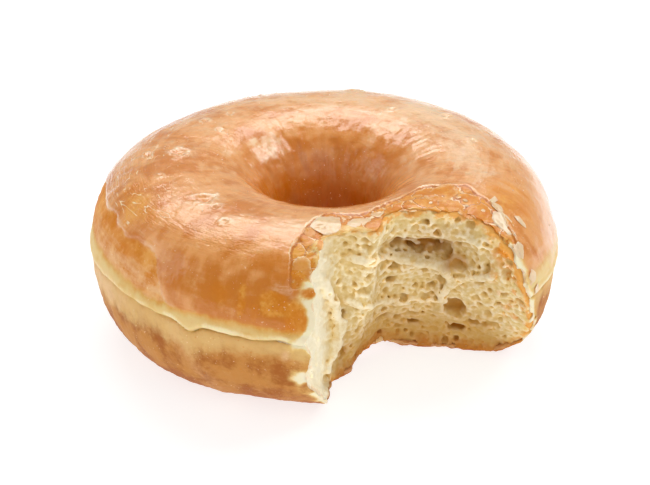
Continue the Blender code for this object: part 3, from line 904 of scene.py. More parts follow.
def soften(volume):
    """Mixes each cell with its six neighbours, which rounds off what is smaller than a cell."""
    padded = np.pad(volume, 1, mode="edge")
    near = 0
    for axis in range(3):
        for side in (slice(0, -2), slice(2, None)):
            part = [slice(1, -1)] * 3
            part[axis] = side
            near = near + padded[tuple(part)]
    return 0.4 * volume + 0.1 * near


def sample(volume, points):
    """The volume's value at each point, mixed from the eight cells round it."""
    place = np.clip((points - CRUMB_FROM) / CRUMB_STEP, 0, np.array(volume.shape) - 1.001)
    cell = place.astype(int)
    share = place - cell
    total = np.zeros(len(points))
    for step in CORNERS:
        weight = np.prod(np.where(step, share, 1 - share), axis=1)
        total += weight * volume[tuple((cell + step).T)]
    return total


def box_mean(volume, half):
    """The mean over a cube of 2 half + 1 cells a side."""
    for axis in range(3):
        padded = np.pad(volume, [(half + 1, half) if i == axis else (0, 0) for i in range(3)], mode="edge")
        total = np.cumsum(padded, axis=axis, dtype=np.float64)
        ahead, behind = [slice(None)] * 3, [slice(None)] * 3
        ahead[axis], behind[axis] = slice(2 * half + 1, None), slice(0, -2 * half - 1)
        volume = ((total[tuple(ahead)] - total[tuple(behind)]) / (2 * half + 1)).astype(np.float32)
    return volume


def crumb_volume():
    """How far inside the crumb each cell of the grid is."""
    flat, shape = grid_points(CRUMB_FROM, CRUMB_TO, CRUMB_STEP)
    side, distance = bite_side(flat)
    depth = distance - face_reach(side, flat[:, 2])
    rows = np.where((depth > -5.0) & (depth < SLAB + 1.2) & (np.abs(side) < SLAB_SIDES + 6))[0]
    near, side = flat[rows], side[rows]
    z = near[:, 2]
    in_cave = bump(side, -21, 15) * bump(z, 28.4, 3.2)
    depth = distance[rows] - face_reach(side, z + 1.1 * in_cave * POROUS(near + 130, 4.2))
    below_skin = place_in_section(near)[2]
    flank = smoothstep(22, 34, side)
    depth = depth + hang(side, z) * smoothstep(4.0, 0.9, below_skin)
    rough = 0.60 * POROUS(near, 6.0) + 0.45 * POROUS(near + 3, 2.6) + 0.25 * POROUS(near + 7, 1.3)
    rough = rough * (1 - 0.3 * flank) + 0.25 * POROUS(near + 17, 1.0) * flank
    solid = lay_folds(depth + rough, side, z, depth, rough)
    lookup = np.full(len(flat), -1, np.int32)
    lookup[rows] = np.arange(len(rows))
    lookup = lookup.reshape(shape)
    warp = POROUS.three(near, 50, 2.4) * 0.40 + POROUS.three(near, 50, 1.1, start=20) * 0.32
    carve(solid, near, lookup, [(*hole, 0.0) for hole in HOLES], warp, 0.16)
    carve(solid, near, lookup, scatter_cups(np.random.default_rng(CUP_SEED)), warp, 0.12)
    solid = solid + 0.18 * POROUS(near + 90, 0.8)
    solid = solid + in_cave * (0.60 * POROUS(near + 110, 1.6) + 0.35 * POROUS(near + 120, 0.9))
    outer = below_skin - CRUMB_SKIN - 0.25 * np.abs(POROUS(near + 70, 1.4))
    volume = np.full(len(flat), -1.0, np.float32)
    volume[rows] = np.minimum.reduce([solid, outer, SLAB - depth, SLAB_SIDES - np.abs(side)])
    return closed(soften(volume.reshape(shape)))


def in_crumb(points):
    """(side, depth behind the bitten face, depth below the skin) of points of the crumb."""
    side, distance = bite_side(points)
    return side, distance - face_reach(side, points[:, 2]), place_in_section(points)[2]


def make_crumb(material):
    volume = crumb_volume()
    crumb = mesh_object("crumb", *keep_largest(*surface_nets(volume, CRUMB_FROM, CRUMB_STEP)), material)
    points = points_of(crumb)
    _, depth, below_skin = in_crumb(points)
    plain = np.maximum(points[:, 2] > 0.4, smoothstep(1.4, 1.0, below_skin))
    thin_out(crumb, smoothstep(2.6, 3.2, depth) * plain, CRUMB_KEPT)
    crumb.data.shade_smooth()

    points = points_of(crumb)
    z = points[:, 2]
    side, depth, below_skin = in_crumb(points)
    filled = np.clip(0.5 + volume / (2 * CRUMB_STEP), 0, 1)
    # Painted shade over the middle and right of the bitten face, away from the light.
    shade = 0.6 * smoothstep(12, -4, side) * smoothstep(31, 27, z) * smoothstep(-62, -48, side)
    # Painted shade in the cave under the overhang and in the hollows.
    cave_shade = bump(side, -18, 13) * bump(z - 0.08 * side, 29.7, 1.5) * smoothstep(-1.0, 0.6, depth)
    for at, level, wide, tall, strength, in_hole in SHADES:
        shade_here = strength * bump(side, at, wide) * bump(z, level, tall)
        cave_shade = np.maximum(cave_shade, shade_here * smoothstep(0.3, 1.5, depth) if in_hole else shade_here)
    rind = 0.6 * smoothstep(2.4, 0.8, below_skin) * (side < -30)
    crusty = 0.8 * bump(side, -60, 7) * smoothstep(6, 12, z) + rind
    crusty = crusty * smoothstep(-0.15, 0.30, POROUS(points + 12, 2.2))
    fields = {
        # Painted shade in the pores, from how much crumb surrounds each point.
        "pore_shade": 0.5 * sample(box_mean(filled, 1), points) + 0.5 * sample(box_mean(filled, 3), points),
        # Painted shade deeper behind the bitten face, and the painted side shade.
        "deep": np.maximum(smoothstep(0.2, 2.2, depth), shade),
        "under_skin": np.clip(below_skin, 0, 8) / 8,
        "flank": smoothstep(22, 34, side),
        "cave_shade": cave_shade,
        "low": smoothstep(17, 5, z) * smoothstep(26, 12, side) * smoothstep(-56, -42, side),
        "crusty": np.maximum(crusty, bump(side, -56.5, 4.0) * bump(z, 29, 2.8)),
    }
    for name, values in fields.items():
        set_field(crumb, name, values)
    return crumb


# ---------------------------------------------------------------- glaze plates, flakes and specks

# (azimuth, turn, half width, half length in mm, spin, corners, lift, tilt across, tilt along, haze)
PLATES = ((-37, 91, 4.4, 3.6, 10, 6, -0.05, 0.02, 0.03, 0.0),
          (-37, 74, 4.4, 3.6, 30, 5, -0.25, -0.02, 0.03, 0.0),
          (-51, 95, 4.6, 3.0, 50, 5, -0.25, 0.03, 0.02, 0.0),
          (-97.0, 47, 2.1, 3.6, 0, 9, -0.10, 0.02, 0.01, 0.22),
          (-94.6, 56, 1.3, 2.6, 70, 6, -0.15, 0.06, 0.02, 0.12),
          (-93.4, 68, 1.6, 2.0, 30, 6, -0.12, 0.05, 0.05, 0.2),
          (-96.5, 78, 1.8, 2.2, 10, 6, -0.12, 0.02, 0.03, 0.25))
FLAKES = ((-90, 85, 3.1, 3.6, 25, 6, 0.26, 0.0, 0.02, 0.5),
          (-78, 85, 2.7, 2.4, 40, 5, 0.0, -0.02, 0.02, 0.6),
          (-34.5, 52, 2.5, 3.0, 20, 5, 0.12, 0.04, 0.03, 0.9),
          (-31, 60, 1.1, 2.0, 50, 5, 0.05, -0.03, 0.03, 0.6),
          (-36.5, 33, 1.7, 1.9, 70, 5, 0.12, 0.05, 0.0, 0.8),
          (-29, 66, 1.6, 0.8, 20, 4, 0.05, 0.04, 0.05, 0.8),
          (-29, 46, 0.8, 1.7, 35, 5, 0.05, 0.0, 0.0, 0.7),
          (-35.5, 14, 1.2, 1.5, 30, 5, 0.15, 0.1, 0.1, 0.8),
          (-34.5, 5, 1.0, 1.3, 60, 4, 0.15, -0.1, 0.1, 0.8),
          (-70, 92, 1.8, 1.2, 10, 4, 0.05, 0.05, -0.05, 0.4))
PLATE_THICKNESS, FLAKE_THICKNESS = 0.26, 0.14
LITTLE_FLAKES = 12
PLATE_SEED, FLAKE_SEED, LITTLE_SEED, SPECK_SEED = 71, 72, 75, 61
OUTLINE_POINTS = 48
RINGS = (0.0, 0.4, 0.7, 0.88, 1.0)
CLEAR_HAZE = 0.3  # a piece with less haze is clear glaze like the crust's, and one with more is pale
SPECKS = 900  # tries, of which about a fifth are kept, mostly in clusters


def skin_frame(azimuth, turn):
    """Millimetres for each degree round the ring and up the section."""
    middle, aside, above = skin(azimuth + np.array([0, 0.1, 0]), turn + np.array([0, 0, 0.1]))
    return np.linalg.norm(aside - middle) * 10, np.linalg.norm(above - middle) * 10


def skin_normal(azimuth, turn):
    """(points, normals) of the skin."""
    spot, aside, above = skin(azimuth, turn), skin(azimuth + 0.5, turn), skin(azimuth, turn + 0.5)
    normal = np.cross(aside - spot, above - spot)
    return spot, normal / np.linalg.norm(normal, axis=1)[:, None]


def plate_faces():
    """The faces of one plate: its top, its underside and the edge between them."""
    count = 1 + (len(RINGS) - 1) * OUTLINE_POINTS
    top = []
    for i in range(OUTLINE_POINTS):
        after = (i + 1) % OUTLINE_POINTS
        top.append((0, 1 + i, 1 + after))
        for ring in range(len(RINGS) - 2):
            inner, outer = 1 + ring * OUTLINE_POINTS, 1 + (ring + 1) * OUTLINE_POINTS
            top.append((inner + i, outer + i, outer + after))
            top.append((inner + i, outer + after, inner + after))
    top = np.array(top)
    last = count - OUTLINE_POINTS + np.arange(OUTLINE_POINTS)
    after = np.roll(last, -1)
    edge = [np.stack([last, last + count, after + count], 1), np.stack([last, after + count, after], 1)]
    return np.concatenate([top, top[:, ::-1] + count, *edge]), 2 * count


def broken_outline(draw, corners, spin):
    """A crooked polygon about 1 in radius, as OUTLINE_POINTS points."""
    angles = np.radians(spin + (np.arange(corners) + draw.uniform(-0.28, 0.28, corners)) * 360 / corners)
    reach = draw.uniform(0.82, 1.12, corners)
    knots = np.stack([np.cos(angles) * reach, np.sin(angles) * reach], -1)
    along = np.linspace(0, corners, OUTLINE_POINTS, endpoint=False)
    first = along.astype(int)
    share = (along - first)[:, None]
    outline = knots[first] * (1 - share) + knots[(first + 1) % corners] * share
    swell = 1 + 0.25 * (1 - np.linalg.norm(outline, axis=1)) + draw.normal(0, 0.03, OUTLINE_POINTS)
    return outline * swell[:, None]


def make_plates(name, rows, thickness, seed, material):
    """Thin broken pieces of glaze that follow the skin, each one closed."""
    draw = np.random.default_rng(seed)
    faces, count = plate_faces()
    rim = np.concatenate([[0.0], np.repeat(RINGS[1:], OUTLINE_POINTS)])
    edge = 0.3 * thickness * smoothstep(0.86, 1.0, rim)
    points, places = [], []
    for azimuth, turn, half_width, half_length, spin, corners, lift, tilt_across, tilt_along, _ in rows:
        wide, tall = skin_frame(azimuth, turn)
        outline = broken_outline(draw, corners, spin)
        flat = np.concatenate([[[0.0, 0.0]]] + [outline * ring for ring in RINGS[1:]])
        flat = flat * (half_width, half_length)
        round_at, turn_at = azimuth + flat[:, 0] / wide, turn + flat[:, 1] / tall
        spot, normal = skin_normal(round_at, turn_at)
        ground = skin_fields(round_at, turn_at, spot)["relief"]
        ground = ground.min() + 0.5 * (ground - ground.min())
        offset = ground + lift + tilt_across * flat[:, 0] + tilt_along * flat[:, 1] + 0.12 * EDGES(spot, 2.0)
        for level in (offset + thickness - edge, offset + edge):
            points.append(spot + normal * level[:, None])
        places.append(np.tile(np.stack([round_at, turn_at]), 2))
    points = np.concatenate(points)
    points[:, 2] = np.maximum(points[:, 2], 0)
    all_faces = np.concatenate([faces + i * count for i in range(len(rows))])
    made = mesh_object(name, points, all_faces, material)
    made.data.set_sharp_from_angle(angle=SHARP_PLATE)

    azimuth, turn = np.concatenate(places, axis=1)
    fields = skin_fields(azimuth, turn, skin(azimuth, turn))
    rim = np.tile(smoothstep(0.80, 1.0, rim), 2 * len(rows))
    haze = np.repeat([row[-1] for row in rows], count)
    clear = haze < CLEAR_HAZE
    under = np.tile(np.arange(count) >= count // 2, len(rows)).astype(float)
    dress(made, azimuth, turn, broken=under * clear, glaze=np.ones(len(rim)), haze=haze, milk=haze * ~clear,
          bare=(0.95 - 2 * haze) * clear, gloss=np.where(clear, 0.15, 0.8), mottle=fields["mottle"],
          crack=np.where(clear, 0.8 * rim, 0.15 + 0.5 * rim), tone=np.clip(fields["tone"] + 3 * haze, 0, 1))
    return made


def little_flakes():
    """Rows for small flakes scattered over the broken ground round the bite."""
    draw = np.random.default_rng(LITTLE_SEED)
    rows = []
    while len(rows) < LITTLE_FLAKES:
        azimuth, turn = draw.uniform(-90, -12), draw.uniform(10, 104)
        spot = skin(np.array([azimuth]), np.array([turn]))
        side, distance = bite_side(spot)
        past = float((distance - bite_reach(side, spot[:, 2]) - torn_back(side, spot[:, 2]))[0])
        if 0.4 < past < draw.uniform(1.0, 8.0) and float(side[0]) < 64:
            size = draw.uniform(0.25, 0.6)
            length, spin = size * draw.uniform(0.6, 1.1), draw.uniform(0, 90)
            lift, tilts = draw.uniform(-0.10, 0.02), draw.uniform(-0.2, 0.2, 2)
            rows.append((azimuth, turn, size, length, spin, 5, lift, *tilts, draw.uniform(0.3, 0.9)))
    return rows


def make_specks(material):
    """Tiny sugar crystals and crumbs of glaze that catch the light, as octahedra."""
    draw = np.random.default_rng(SPECK_SEED)
    corners = np.array([(1, 0, 0), (-1, 0, 0), (0, 1, 0), (0, -1, 0), (0, 0, 1), (0, 0, -1)], float)
    upper = np.array([(0, 2, 4), (2, 1, 4), (1, 3, 4), (3, 0, 4)])
    lower = np.array([(2, 0, 5), (1, 2, 5), (3, 1, 5), (0, 3, 5)])
    azimuth = draw.uniform(-180, 180, SPECKS)
    on_side = draw.uniform(0, 1, SPECKS) < 0.3
    turn = np.where(on_side, draw.uniform(-45, -6, SPECKS), draw.uniform(10, 112, SPECKS))
    spot, normal = skin_normal(azimuth, turn)
    fields = skin_fields(azimuth, turn, spot)
    side, distance = bite_side(spot)
    clusters = 0.10 + 0.9 * smoothstep(0.1, 0.7, LUMPS(spot + 77, 9.0))
    clusters = clusters + 0.3 * fields["crack"] + 0.2 * fields["bare"]
    kept = (distance > bite_reach(side, spot[:, 2]) + 2.0) & (draw.uniform(0, 1, SPECKS) < clusters)
    kept &= fields["band"] < 0.4
    spot = (spot + normal * fields["relief"][:, None])[kept]
    size = draw.uniform(0.06, 0.17, (len(spot), 1, 1)) * draw.uniform(0.6, 1.5, (len(spot), 1, 3))
    points = (spot[:, None] + corners * size).reshape(-1, 3)
    points[:, 2] = np.maximum(points[:, 2], 0)
    faces = (np.concatenate([upper, lower]) + 6 * np.arange(len(spot))[:, None, None]).reshape(-1, 3)
    return mesh_object("sugar_specks", points, faces, material, smooth=False)


# ---------------------------------------------------------------- materials


def linear(red, green, blue):
    """A colour given as it shows on a screen, 0 to 255, as scene-linear values."""
    shares = [value / 255 for value in (red, green, blue)]
    return tuple(s / 12.92 if s <= 0.04045 else ((s + 0.055) / 1.055) ** 2.4 for s in shares)


class Value:
    """What a node gives out. Sums and products of values add further nodes."""

    def __init__(self, look, socket):
        self.look, self.socket = look, socket

    def __add__(self, other):
        return self.look.math("ADD", self, other)

    def __sub__(self, other):
        return self.look.math("SUBTRACT", self, other)

    def __rsub__(self, other):
        return self.look.math("SUBTRACT", other, self)

    def __mul__(self, other):
        return self.look.math("MULTIPLY", self, other)

    def __abs__(self):
        return self.look.math("ABSOLUTE", self)

    def most(self, other):
        return self.look.math("MAXIMUM", self, other)

    def scaled(self, factor, plus):
        return self.look.math("MULTIPLY_ADD", self, factor, plus)

    def shifted(self, *wobbles):
        """The value moved about by noises, each given as (noise, amount)."""
        value = self
        for wobble, amount in wobbles:
            value = (wobble - 0.5).scaled(amount, value)
        return value

    def ramp(self, start, end, out_start=0.0, out_end=1.0):
        """A smooth step from out_start to out_end while the value goes from start to end."""
        inputs = dict(enumerate((self, start, end, out_start, out_end)))
        return self.look.node("MapRange", 0, inputs, interpolation_type="SMOOTHSTEP")


class Look:
    """A material, and short ways to add its nodes."""

    def __init__(self, name):
        self.material = bpy.data.materials.new(name)
        self.material.use_nodes = True
        self.tree = self.material.node_tree
        self.shader = self.tree.nodes["Principled BSDF"]
        self.place = self.node("TexCoord", "Object", {})
        self.colour = None

    def plug(self, value, socket):
        if isinstance(value, Value):
            self.tree.links.new(value.socket, socket)
        elif socket.type == "RGBA":
            socket.default_value = (*value, 1)
        else:
            socket.default_value = value

    def node(self, kind, output, inputs, **settings):
        """Adds a node and gives its output. Inputs and output go by name or number."""
        made = self.tree.nodes.new("ShaderNode" + kind)
        for name, value in settings.items():
            setattr(made, name, value)
        for name, value in inputs.items():
            self.plug(value, made.inputs[name])
        return Value(self, made.outputs[output])

    def field(self, name, output="Fac"):
        return self.node("Attribute", output, {}, attribute_name=name)

    def noise(self, size, detail=2.0, rough=0.5, vector=None, output="Fac"):
        """Noise whose features are about size millimetres."""
        inputs = {"Vector": vector or self.place, "Scale": 1000 / size, "Detail": detail, "Roughness": rough}
        return self.node("TexNoise", output, inputs)

    def warped(self, size, amount):
        """The place, pushed about by up to amount millimetres."""
        inputs = {0: self.noise(size, output="Color"), 1: (amount / 500,) * 3, 2: self.place}
        return self.node("VectorMath", 0, inputs, operation="MULTIPLY_ADD")

    def voronoi(self, size, feature="DISTANCE_TO_EDGE", vector=None):
        inputs = {"Vector": vector or self.place, "Scale": 1000 / size}
        return self.node("TexVoronoi", "Distance", inputs, feature=feature)

    def math(self, operation, one, two=0.0, three=0.0):
        return self.node("Math", 0, {0: one, 1: two, 2: three}, operation=operation)

    def mix(self, share, one, two):
        return self.node("Mix", 2, {0: share, 6: one, 7: two}, data_type="RGBA")

    def paint(self, share, colour):
        """Lays a colour over what is painted so far, as strongly as share says."""
        self.colour = self.mix(share, self.colour, colour)

    def bump(self, height, distance_mm, strength, normal=None):
        inputs = {"Strength": strength, "Distance": distance_mm / 1000, "Height": height}
        if normal:
            inputs["Normal"] = normal
        return self.node("Bump", "Normal", inputs)

    def set(self, **sockets):
        """Sets the shader's own sockets, or links values to them."""
        for name, value in sockets.items():
            self.plug(value, self.shader.inputs[name.replace("_", " ")])


GLAZED = linear(236, 164, 92)
GLAZED_DEEP = linear(212, 124, 18)
# Milky glaze, also the colour of the painted sheen, highlights and edge reflections.
MILKY_AND_SHEEN = linear(248, 206, 162)
CRUST = linear(216, 126, 4)
CRUST_LIGHT = linear(238, 168, 70)
BROWN = linear(172, 98, 28)
BROWN_LIGHT = linear(204, 138, 64)
DARK_BROWN_AND_SHADE = linear(170, 78, 0)
BAND = linear(238, 205, 138)
BAND_HIGHLIGHT = linear(252, 232, 184)
BAND_EDGE = linear(228, 176, 88)
BELOW_BAND = linear(228, 184, 116)
CREASE_SHADE = linear(164, 122, 40)
TORN = linear(255, 238, 202)
TORN_GOLD = linear(244, 204, 124)
BROKEN_SIDE = linear(190, 104, 12)
# Pale edges and rims of the glaze, also used for painted glints and hairline highlights.
PALE_EDGE_AND_GLINT = linear(255, 226, 184)
CUT_CRUST = linear(222, 144, 50)
CUT_CRUMB = linear(250, 220, 162)


def crust_look():
    look = Look("glazed_crust")
    field, noise, voronoi, paint = look.field, look.noise, look.voronoi, look.paint
    round_ring, up_section = field("along_ring", "Vector"), field("down_side", "Vector")
    drawn = noise(1.5, 4, 0.6, round_ring)
    falls = noise(1.3, 4, 0.6, up_section)
    mottle = noise(4.5, 4, 0.55)
    fine = noise(0.8, 4, 0.65)
    grain = noise(0.30, 2, 0.6)

    def torn(name, start, end, *wobbles):
        """How far a field has passed from start to end, with its edge torn by noises."""
        return field(name).shifted(*wobbles).ramp(start, end)

    # Glaze: clear and deep orange, milky where it is thick or dry, with painted sheen and highlights in the
    # same milky colour.
    tone = field("tone").shifted((mottle, 1.2), (drawn, 0.6)) + (falls - 0.5) * (0.8 - field("in_hole"))
    look.colour = look.mix(tone.ramp(0.05, 0.80), GLAZED_DEEP, GLAZED)
    blotch = noise(3.4, 5, 0.68, look.warped(5.0, 1.5)).ramp(0.50, 0.60, 0.0, 0.42)
    paint(blotch * tone.ramp(0.85, 0.15, 0.35, 1.0), GLAZED_DEEP)
    paint(field("in_hole") * 0.35, GLAZED_DEEP)
    # Milky glaze together with painted sheen and highlights, from the haze field.
    haze = torn("haze", 0.10, 0.95, (drawn, 0.8), (fine, 0.5), (mottle, 0.6))
    paint(haze, MILKY_AND_SHEEN)
    cloud = noise(2.6, 4, 0.62, round_ring).ramp(0.53, 0.60, 0.0, 0.45)
    paint(cloud * field("haze").ramp(0.0, 0.45), MILKY_AND_SHEEN)

    # Bare crust, the brown lower side and the pale band between them.
    bare_tint = look.mix(mottle.shifted((fine, 0.5)).ramp(0.35, 0.75), CRUST, CRUST_LIGHT)
    paint(torn("bare", 0.15, 0.85, (fine, 0.5), (falls, 0.5)), bare_tint)
    dry = 1.0 - torn("glaze", 0.3, 0.7, (fine, 0.4))
    paint(dry * 0.6, bare_tint)
    paint(haze * (dry * 0.7), MILKY_AND_SHEEN)
    brown = look.mix(torn("mottle", 0.0, 1.0, (fine, 1.1), (mottle, 0.8)), BROWN, BROWN_LIGHT)
    paint(torn("lower", 0.15, 0.85, (fine, 0.3)), brown)
    paint(torn("below", 0.15, 1.15, (fine, 0.5), (mottle, 1.0)), BELOW_BAND)
    band = field("band").shifted((fine, 0.25), (falls, 0.35))
    paint(band.ramp(0.05, 0.5, 0.0, 0.85), BAND_EDGE)
    paint(band.ramp(0.3, 0.9), BAND)
    paint(band.ramp(0.4, 0.8) * mottle.ramp(0.50, 0.68, 0.0, 0.5), BAND_EDGE)
    # Painted highlight along the band's bulge above the crease.
    paint(torn("pale_highlight", 0.3, 0.9, (fine, 0.5), (falls, 0.5)), BAND_HIGHLIGHT)
    # Painted shade along the crease under the band.
    paint(field("crease") * 0.75, CREASE_SHADE)
    # Brown low on the sides and under the ring, with painted shade down the hole and at the foot.
    paint(field("dark") * 0.75, DARK_BROWN_AND_SHADE)
    # Milky glaze, with painted reflection in the washes on the left and right sides.
    paint(torn("milk", 0.1, 1.1, (fine, 0.3)), MILKY_AND_SHEEN)

    # Round the bite: pale and dark cracks between the chips, and the lip at the break line.
    gap = (field("gap").shifted((fine, 0.12)) - 0.5) * GAP_RANGE
    inside = field("breaking") * gap.ramp(0.1, -0.3)

    def cracks(warp, start, end):
        """Lines between chips of the broken crust."""
        wall = voronoi(CRACK_SIZE, vector=look.warped(2.2, warp)) * CRACK_SIZE
        return (wall + fine * 0.3).ramp(start, end) * inside

    paint(cracks(1.5, 0.30, 0.18) * 0.8, PALE_EDGE_AND_GLINT)
    broken = abs(gap + 0.2).ramp(0.32, 0.12) * field("breaking")
    paint(broken.most(cracks(1.3, 0.32, 0.20)).most(field("broken")) * 0.85, BROKEN_SIDE)
    lip = abs(gap - 0.22).ramp(0.22, 0.06) * field("breaking")
    paint(lip * mottle.ramp(0.42, 0.62, 0.05, 0.7), PALE_EDGE_AND_GLINT)
    # Pale rims of pits and plates, and painted glints on the crest at the back of the hole.
    paint(field("crack") * fine.ramp(0.35, 0.6), PALE_EDGE_AND_GLINT)

    # Small marks in the glaze: dots and flecks, and painted highlights on the hairline wrinkles.
    paint(voronoi(1.5, "F1").ramp(0.16, 0.09) * noise(6.0).ramp(0.48, 0.62) * 0.35, CRUST)
    paint(noise(0.45, 1).ramp(0.70, 0.76) * noise(7.0, 1).ramp(0.4, 0.65) * 0.6, PALE_EDGE_AND_GLINT)
    hairline_highlight = abs(noise(2.6, vector=round_ring) - 0.5).ramp(0.014, 0.004) * noise(4.0, 1).ramp(0.50, 0.62)
    paint(hairline_highlight * field("wrinkled").ramp(0.2, 0.9), PALE_EDGE_AND_GLINT)

    # The cut edge of the crust, and the torn skin beside it.
    cut = look.mix(torn("cut", 0.4, 0.9, (fine, 1.2), (noise(1.7, 3, 0.65), 3.2)), CUT_CRUST, CUT_CRUMB)
    paint(field("cut").ramp(0.05, 0.35), look.mix(field("lower") * 0.8, cut, BROWN))
    paint(torn("torn", 0.0, 0.6, (fine, 0.3), (mottle, 0.4)), TORN_GOLD)
    paint(torn("torn", 0.3, 0.8, (fine, 0.4), (mottle, 0.3)), TORN)

    # Ridged noise gives the glaze its thin wrinkles.
    ridge = 1.0 - abs(drawn.scaled(4.0, -2.0))
    wrinkles = (ridge.most(0.0) * field("wrinkled")).scaled(0.9, (drawn + falls) * 0.25)
    glossy = look.bump(fine.scaled(0.40, noise(2.2) * 0.9 + wrinkles), 0.20, 0.7)
    look.set(Base_Color=look.colour, Coat_Normal=glossy, Normal=look.bump(grain, 0.05, 0.5, glossy))
    look.set(Roughness=field("glaze").shifted((fine, 0.4)).ramp(0.1, 0.9, 0.6, 0.38))
    look.set(Coat_Weight=field("gloss") * (1.0 - field("cut")), Coat_Roughness=0.07)
    look.set(Specular_IOR_Level=0.25, IOR=1.45)
    look.set(Subsurface_Weight=0.25, Subsurface_Radius=(1.0, 0.5, 0.2), Subsurface_Scale=0.0012)
    return look.material


CRUMB_CREAM = linear(253, 241, 210)
CRUMB_FLANK_LIT = linear(255, 248, 224)
CRUMB_PORE_SHADE = linear(228, 201, 140)
CRUMB_DEEP_SHADE = linear(184, 141, 62)
CRUMB_LOW = linear(188, 140, 62)
CRUMB_CAVE_SHADE = linear(178, 118, 36)
CRUMB_GOLD = linear(240, 198, 116)
CRUMB_RIM = linear(234, 166, 80)
CRUMB_EDGE = linear(222, 138, 34)
CRUMB_FOOT = linear(180, 108, 38)


def crumb_look():
    look = Look("crumb")
    field, noise, paint = look.field, look.noise, look.paint
    fine = noise(0.5, 3, 0.65)
    wobble = (noise(3.0, 3, 0.6) + fine).scaled(0.24, -0.24)
    # Painted shade in the pores, from how much crumb surrounds each point.
    pore_shade = field("pore_shade") + wobble
    look.colour = look.mix(pore_shade.ramp(0.32, 0.56), CRUMB_CREAM, CRUMB_PORE_SHADE)
    paint(pore_shade.ramp(0.54, 0.82), CRUMB_DEEP_SHADE)
    # Painted shade deep behind the bitten face and away from the light.
    paint(field("deep") * 0.4, CRUMB_DEEP_SHADE)
    paint(field("low") * 0.75, CRUMB_LOW)
    # Painted shade in the cave and hollows.
    paint(field("cave_shade").ramp(0.0, 0.8, 0.0, 0.92), CRUMB_CAVE_SHADE)
    # Painted light: the bite's left flank, which faces the light on the right, is painted paler.
    paint(field("flank") * 0.85, CRUMB_FLANK_LIT)
    below_skin = wobble.scaled(0.6, field("under_skin"))
    paint(below_skin.ramp(0.36, 0.08, 0.0, field("flank").scaled(-0.4, 0.5)), CRUMB_GOLD)
    paint(field("crusty") * noise(1.6, 3, 0.65).ramp(0.42, 0.56, 0.15, 0.85), CRUMB_EDGE)
    below_skin = below_skin.shifted((noise(2.4, 3, 0.6), 0.65))
    edge = below_skin.ramp(field("low").ramp(0.0, 1.0, 0.17, 0.55), 0.06, 0.0, 0.9)
    foot = look.mix(field("low"), CRUMB_RIM, CRUMB_FOOT)
    paint(edge * field("flank").scaled(-0.7, 1.0), foot)
    fluff = look.bump(fine + noise(0.3, rough=0.6), 0.15, 0.8)
    look.set(Base_Color=look.colour, Normal=fluff, Roughness=fine.ramp(0.3, 0.7, 0.7, 0.9))
    look.shader.subsurface_method = "BURLEY"
    look.set(Subsurface_Weight=0.85, Subsurface_Radius=(1.0, 0.85, 0.6), Subsurface_Scale=0.0016)
    look.set(Specular_IOR_Level=0.0)
    return look.material


def sugar_look():
    look = Look("sugar")
    look.set(Base_Color=look.mix(look.noise(0.8), linear(255, 238, 216), linear(252, 206, 160)))
    look.set(Roughness=look.noise(0.5).ramp(0.3, 0.7, 0.2, 0.45))
    look.set(Subsurface_Weight=0.2, Subsurface_Scale=0.0004)
    return look.material


# ---------------------------------------------------------------- the pieces

glazed = crust_look()
crust = make_crust(glazed)
crumb = make_crumb(crumb_look())
plates = make_plates("glaze_plates", PLATES, PLATE_THICKNESS, PLATE_SEED, glazed)
flakes = make_plates("glaze_flakes", (*FLAKES, *little_flakes()), FLAKE_THICKNESS, FLAKE_SEED, glazed)
specks = make_specks(sugar_look())
SLOTS = ((crust, "crust"), (crumb, "crumb"), (plates, "crust"), (flakes, "crust"), (specks, "crust"))
for piece, slot in SLOTS:
    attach(piece, "root")
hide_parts("doughnut")
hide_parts("doughnut")

# ---------------------------------------------------------------- stage, lights and camera

FLOOR_HALF = 3.0  # metres
WORLD_STRENGTH = 0.36
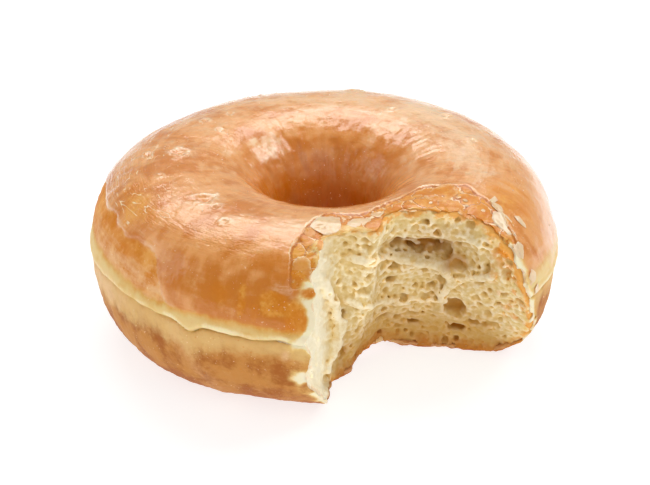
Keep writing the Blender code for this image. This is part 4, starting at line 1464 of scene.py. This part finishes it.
# Area lights: (name, place, height that it looks at over the origin, size, power in watts).
LIGHTS = (("back_top", (-0.05, 0.44, 0.66), 0.03, (0.62, 0.42), 3.3),
          ("right", (0.52, 0.22, 0.57), 0.03, (0.34, 0.30), 1.7),
          ("front_fill", (0.25, -0.75, 0.60), 0.02, (1.2, 0.8), 2.6),
          ("left", (-0.75, 0.02, 0.32), 0.02, (0.5, 0.5), 1.0))
CAMERA_DISTANCE, CAMERA_HEIGHT_AIMED, CAMERA_ELEVATION = 0.380, 0.0191125, math.radians(25.88)
CAMERA_LENS, SENSOR = 102.74, 36  # mm
CAMERA_SHIFT = (-0.00405, -0.00883)


def make_floor():
    mesh = bpy.data.meshes.new("floor")
    corners = [(x * FLOOR_HALF, y * FLOOR_HALF, 0) for x, y in ((-1, -1), (1, -1), (1, 1), (-1, 1))]
    mesh.from_pydata(corners, [], [(0, 1, 2, 3)])
    look = Look("floor_white")
    look.set(Base_Color=look.mix(look.noise(400), (0.40, 0.40, 0.40), (0.42, 0.42, 0.42)))
    look.set(Emission_Color=(1, 1, 1), Emission_Strength=0.75, Roughness=0.9, Specular_IOR_Level=0.1)
    mesh.materials.append(look.material)
    floor = add_to_scene("floor", mesh)


def light_scene():
    world = bpy.data.worlds.new("studio")
    bpy.context.scene.world = world
    world.use_nodes = True
    background = world.node_tree.nodes["Background"].inputs
    background["Color"].default_value = (1, 1, 1, 1)
    background["Strength"].default_value = WORLD_STRENGTH
    for name, place, aimed_height, size, power in LIGHTS:
        data = bpy.data.lights.new(name, "AREA")
        data.shape = "RECTANGLE"
        data.size, data.size_y = size
        data.energy = power
        made = add_to_scene(name, data)
        made.location = place
        made.rotation_mode = "QUATERNION"
        made.rotation_quaternion = (Vector((0, 0, aimed_height)) - Vector(place)).to_track_quat("-Z", "Y")
    bpy.context.scene.view_settings.view_transform = "Standard"


def make_camera():
    data = bpy.data.cameras.new("camera")
    data.lens, data.sensor_width = CAMERA_LENS, SENSOR
    data.shift_x, data.shift_y = CAMERA_SHIFT
    data.clip_start, data.clip_end = 0.01, 20
    camera = add_to_scene("camera", data)
    back = Vector((0, -math.cos(CAMERA_ELEVATION), math.sin(CAMERA_ELEVATION)))
    middle = Vector(RING_MIDDLE / 1000) + Vector((0, 0, CAMERA_HEIGHT_AIMED))
    camera.location = middle + back * CAMERA_DISTANCE
    camera.rotation_euler = (math.pi / 2 - CAMERA_ELEVATION, 0, 0)
    bpy.context.scene.camera = camera


make_floor()
light_scene()
make_camera()
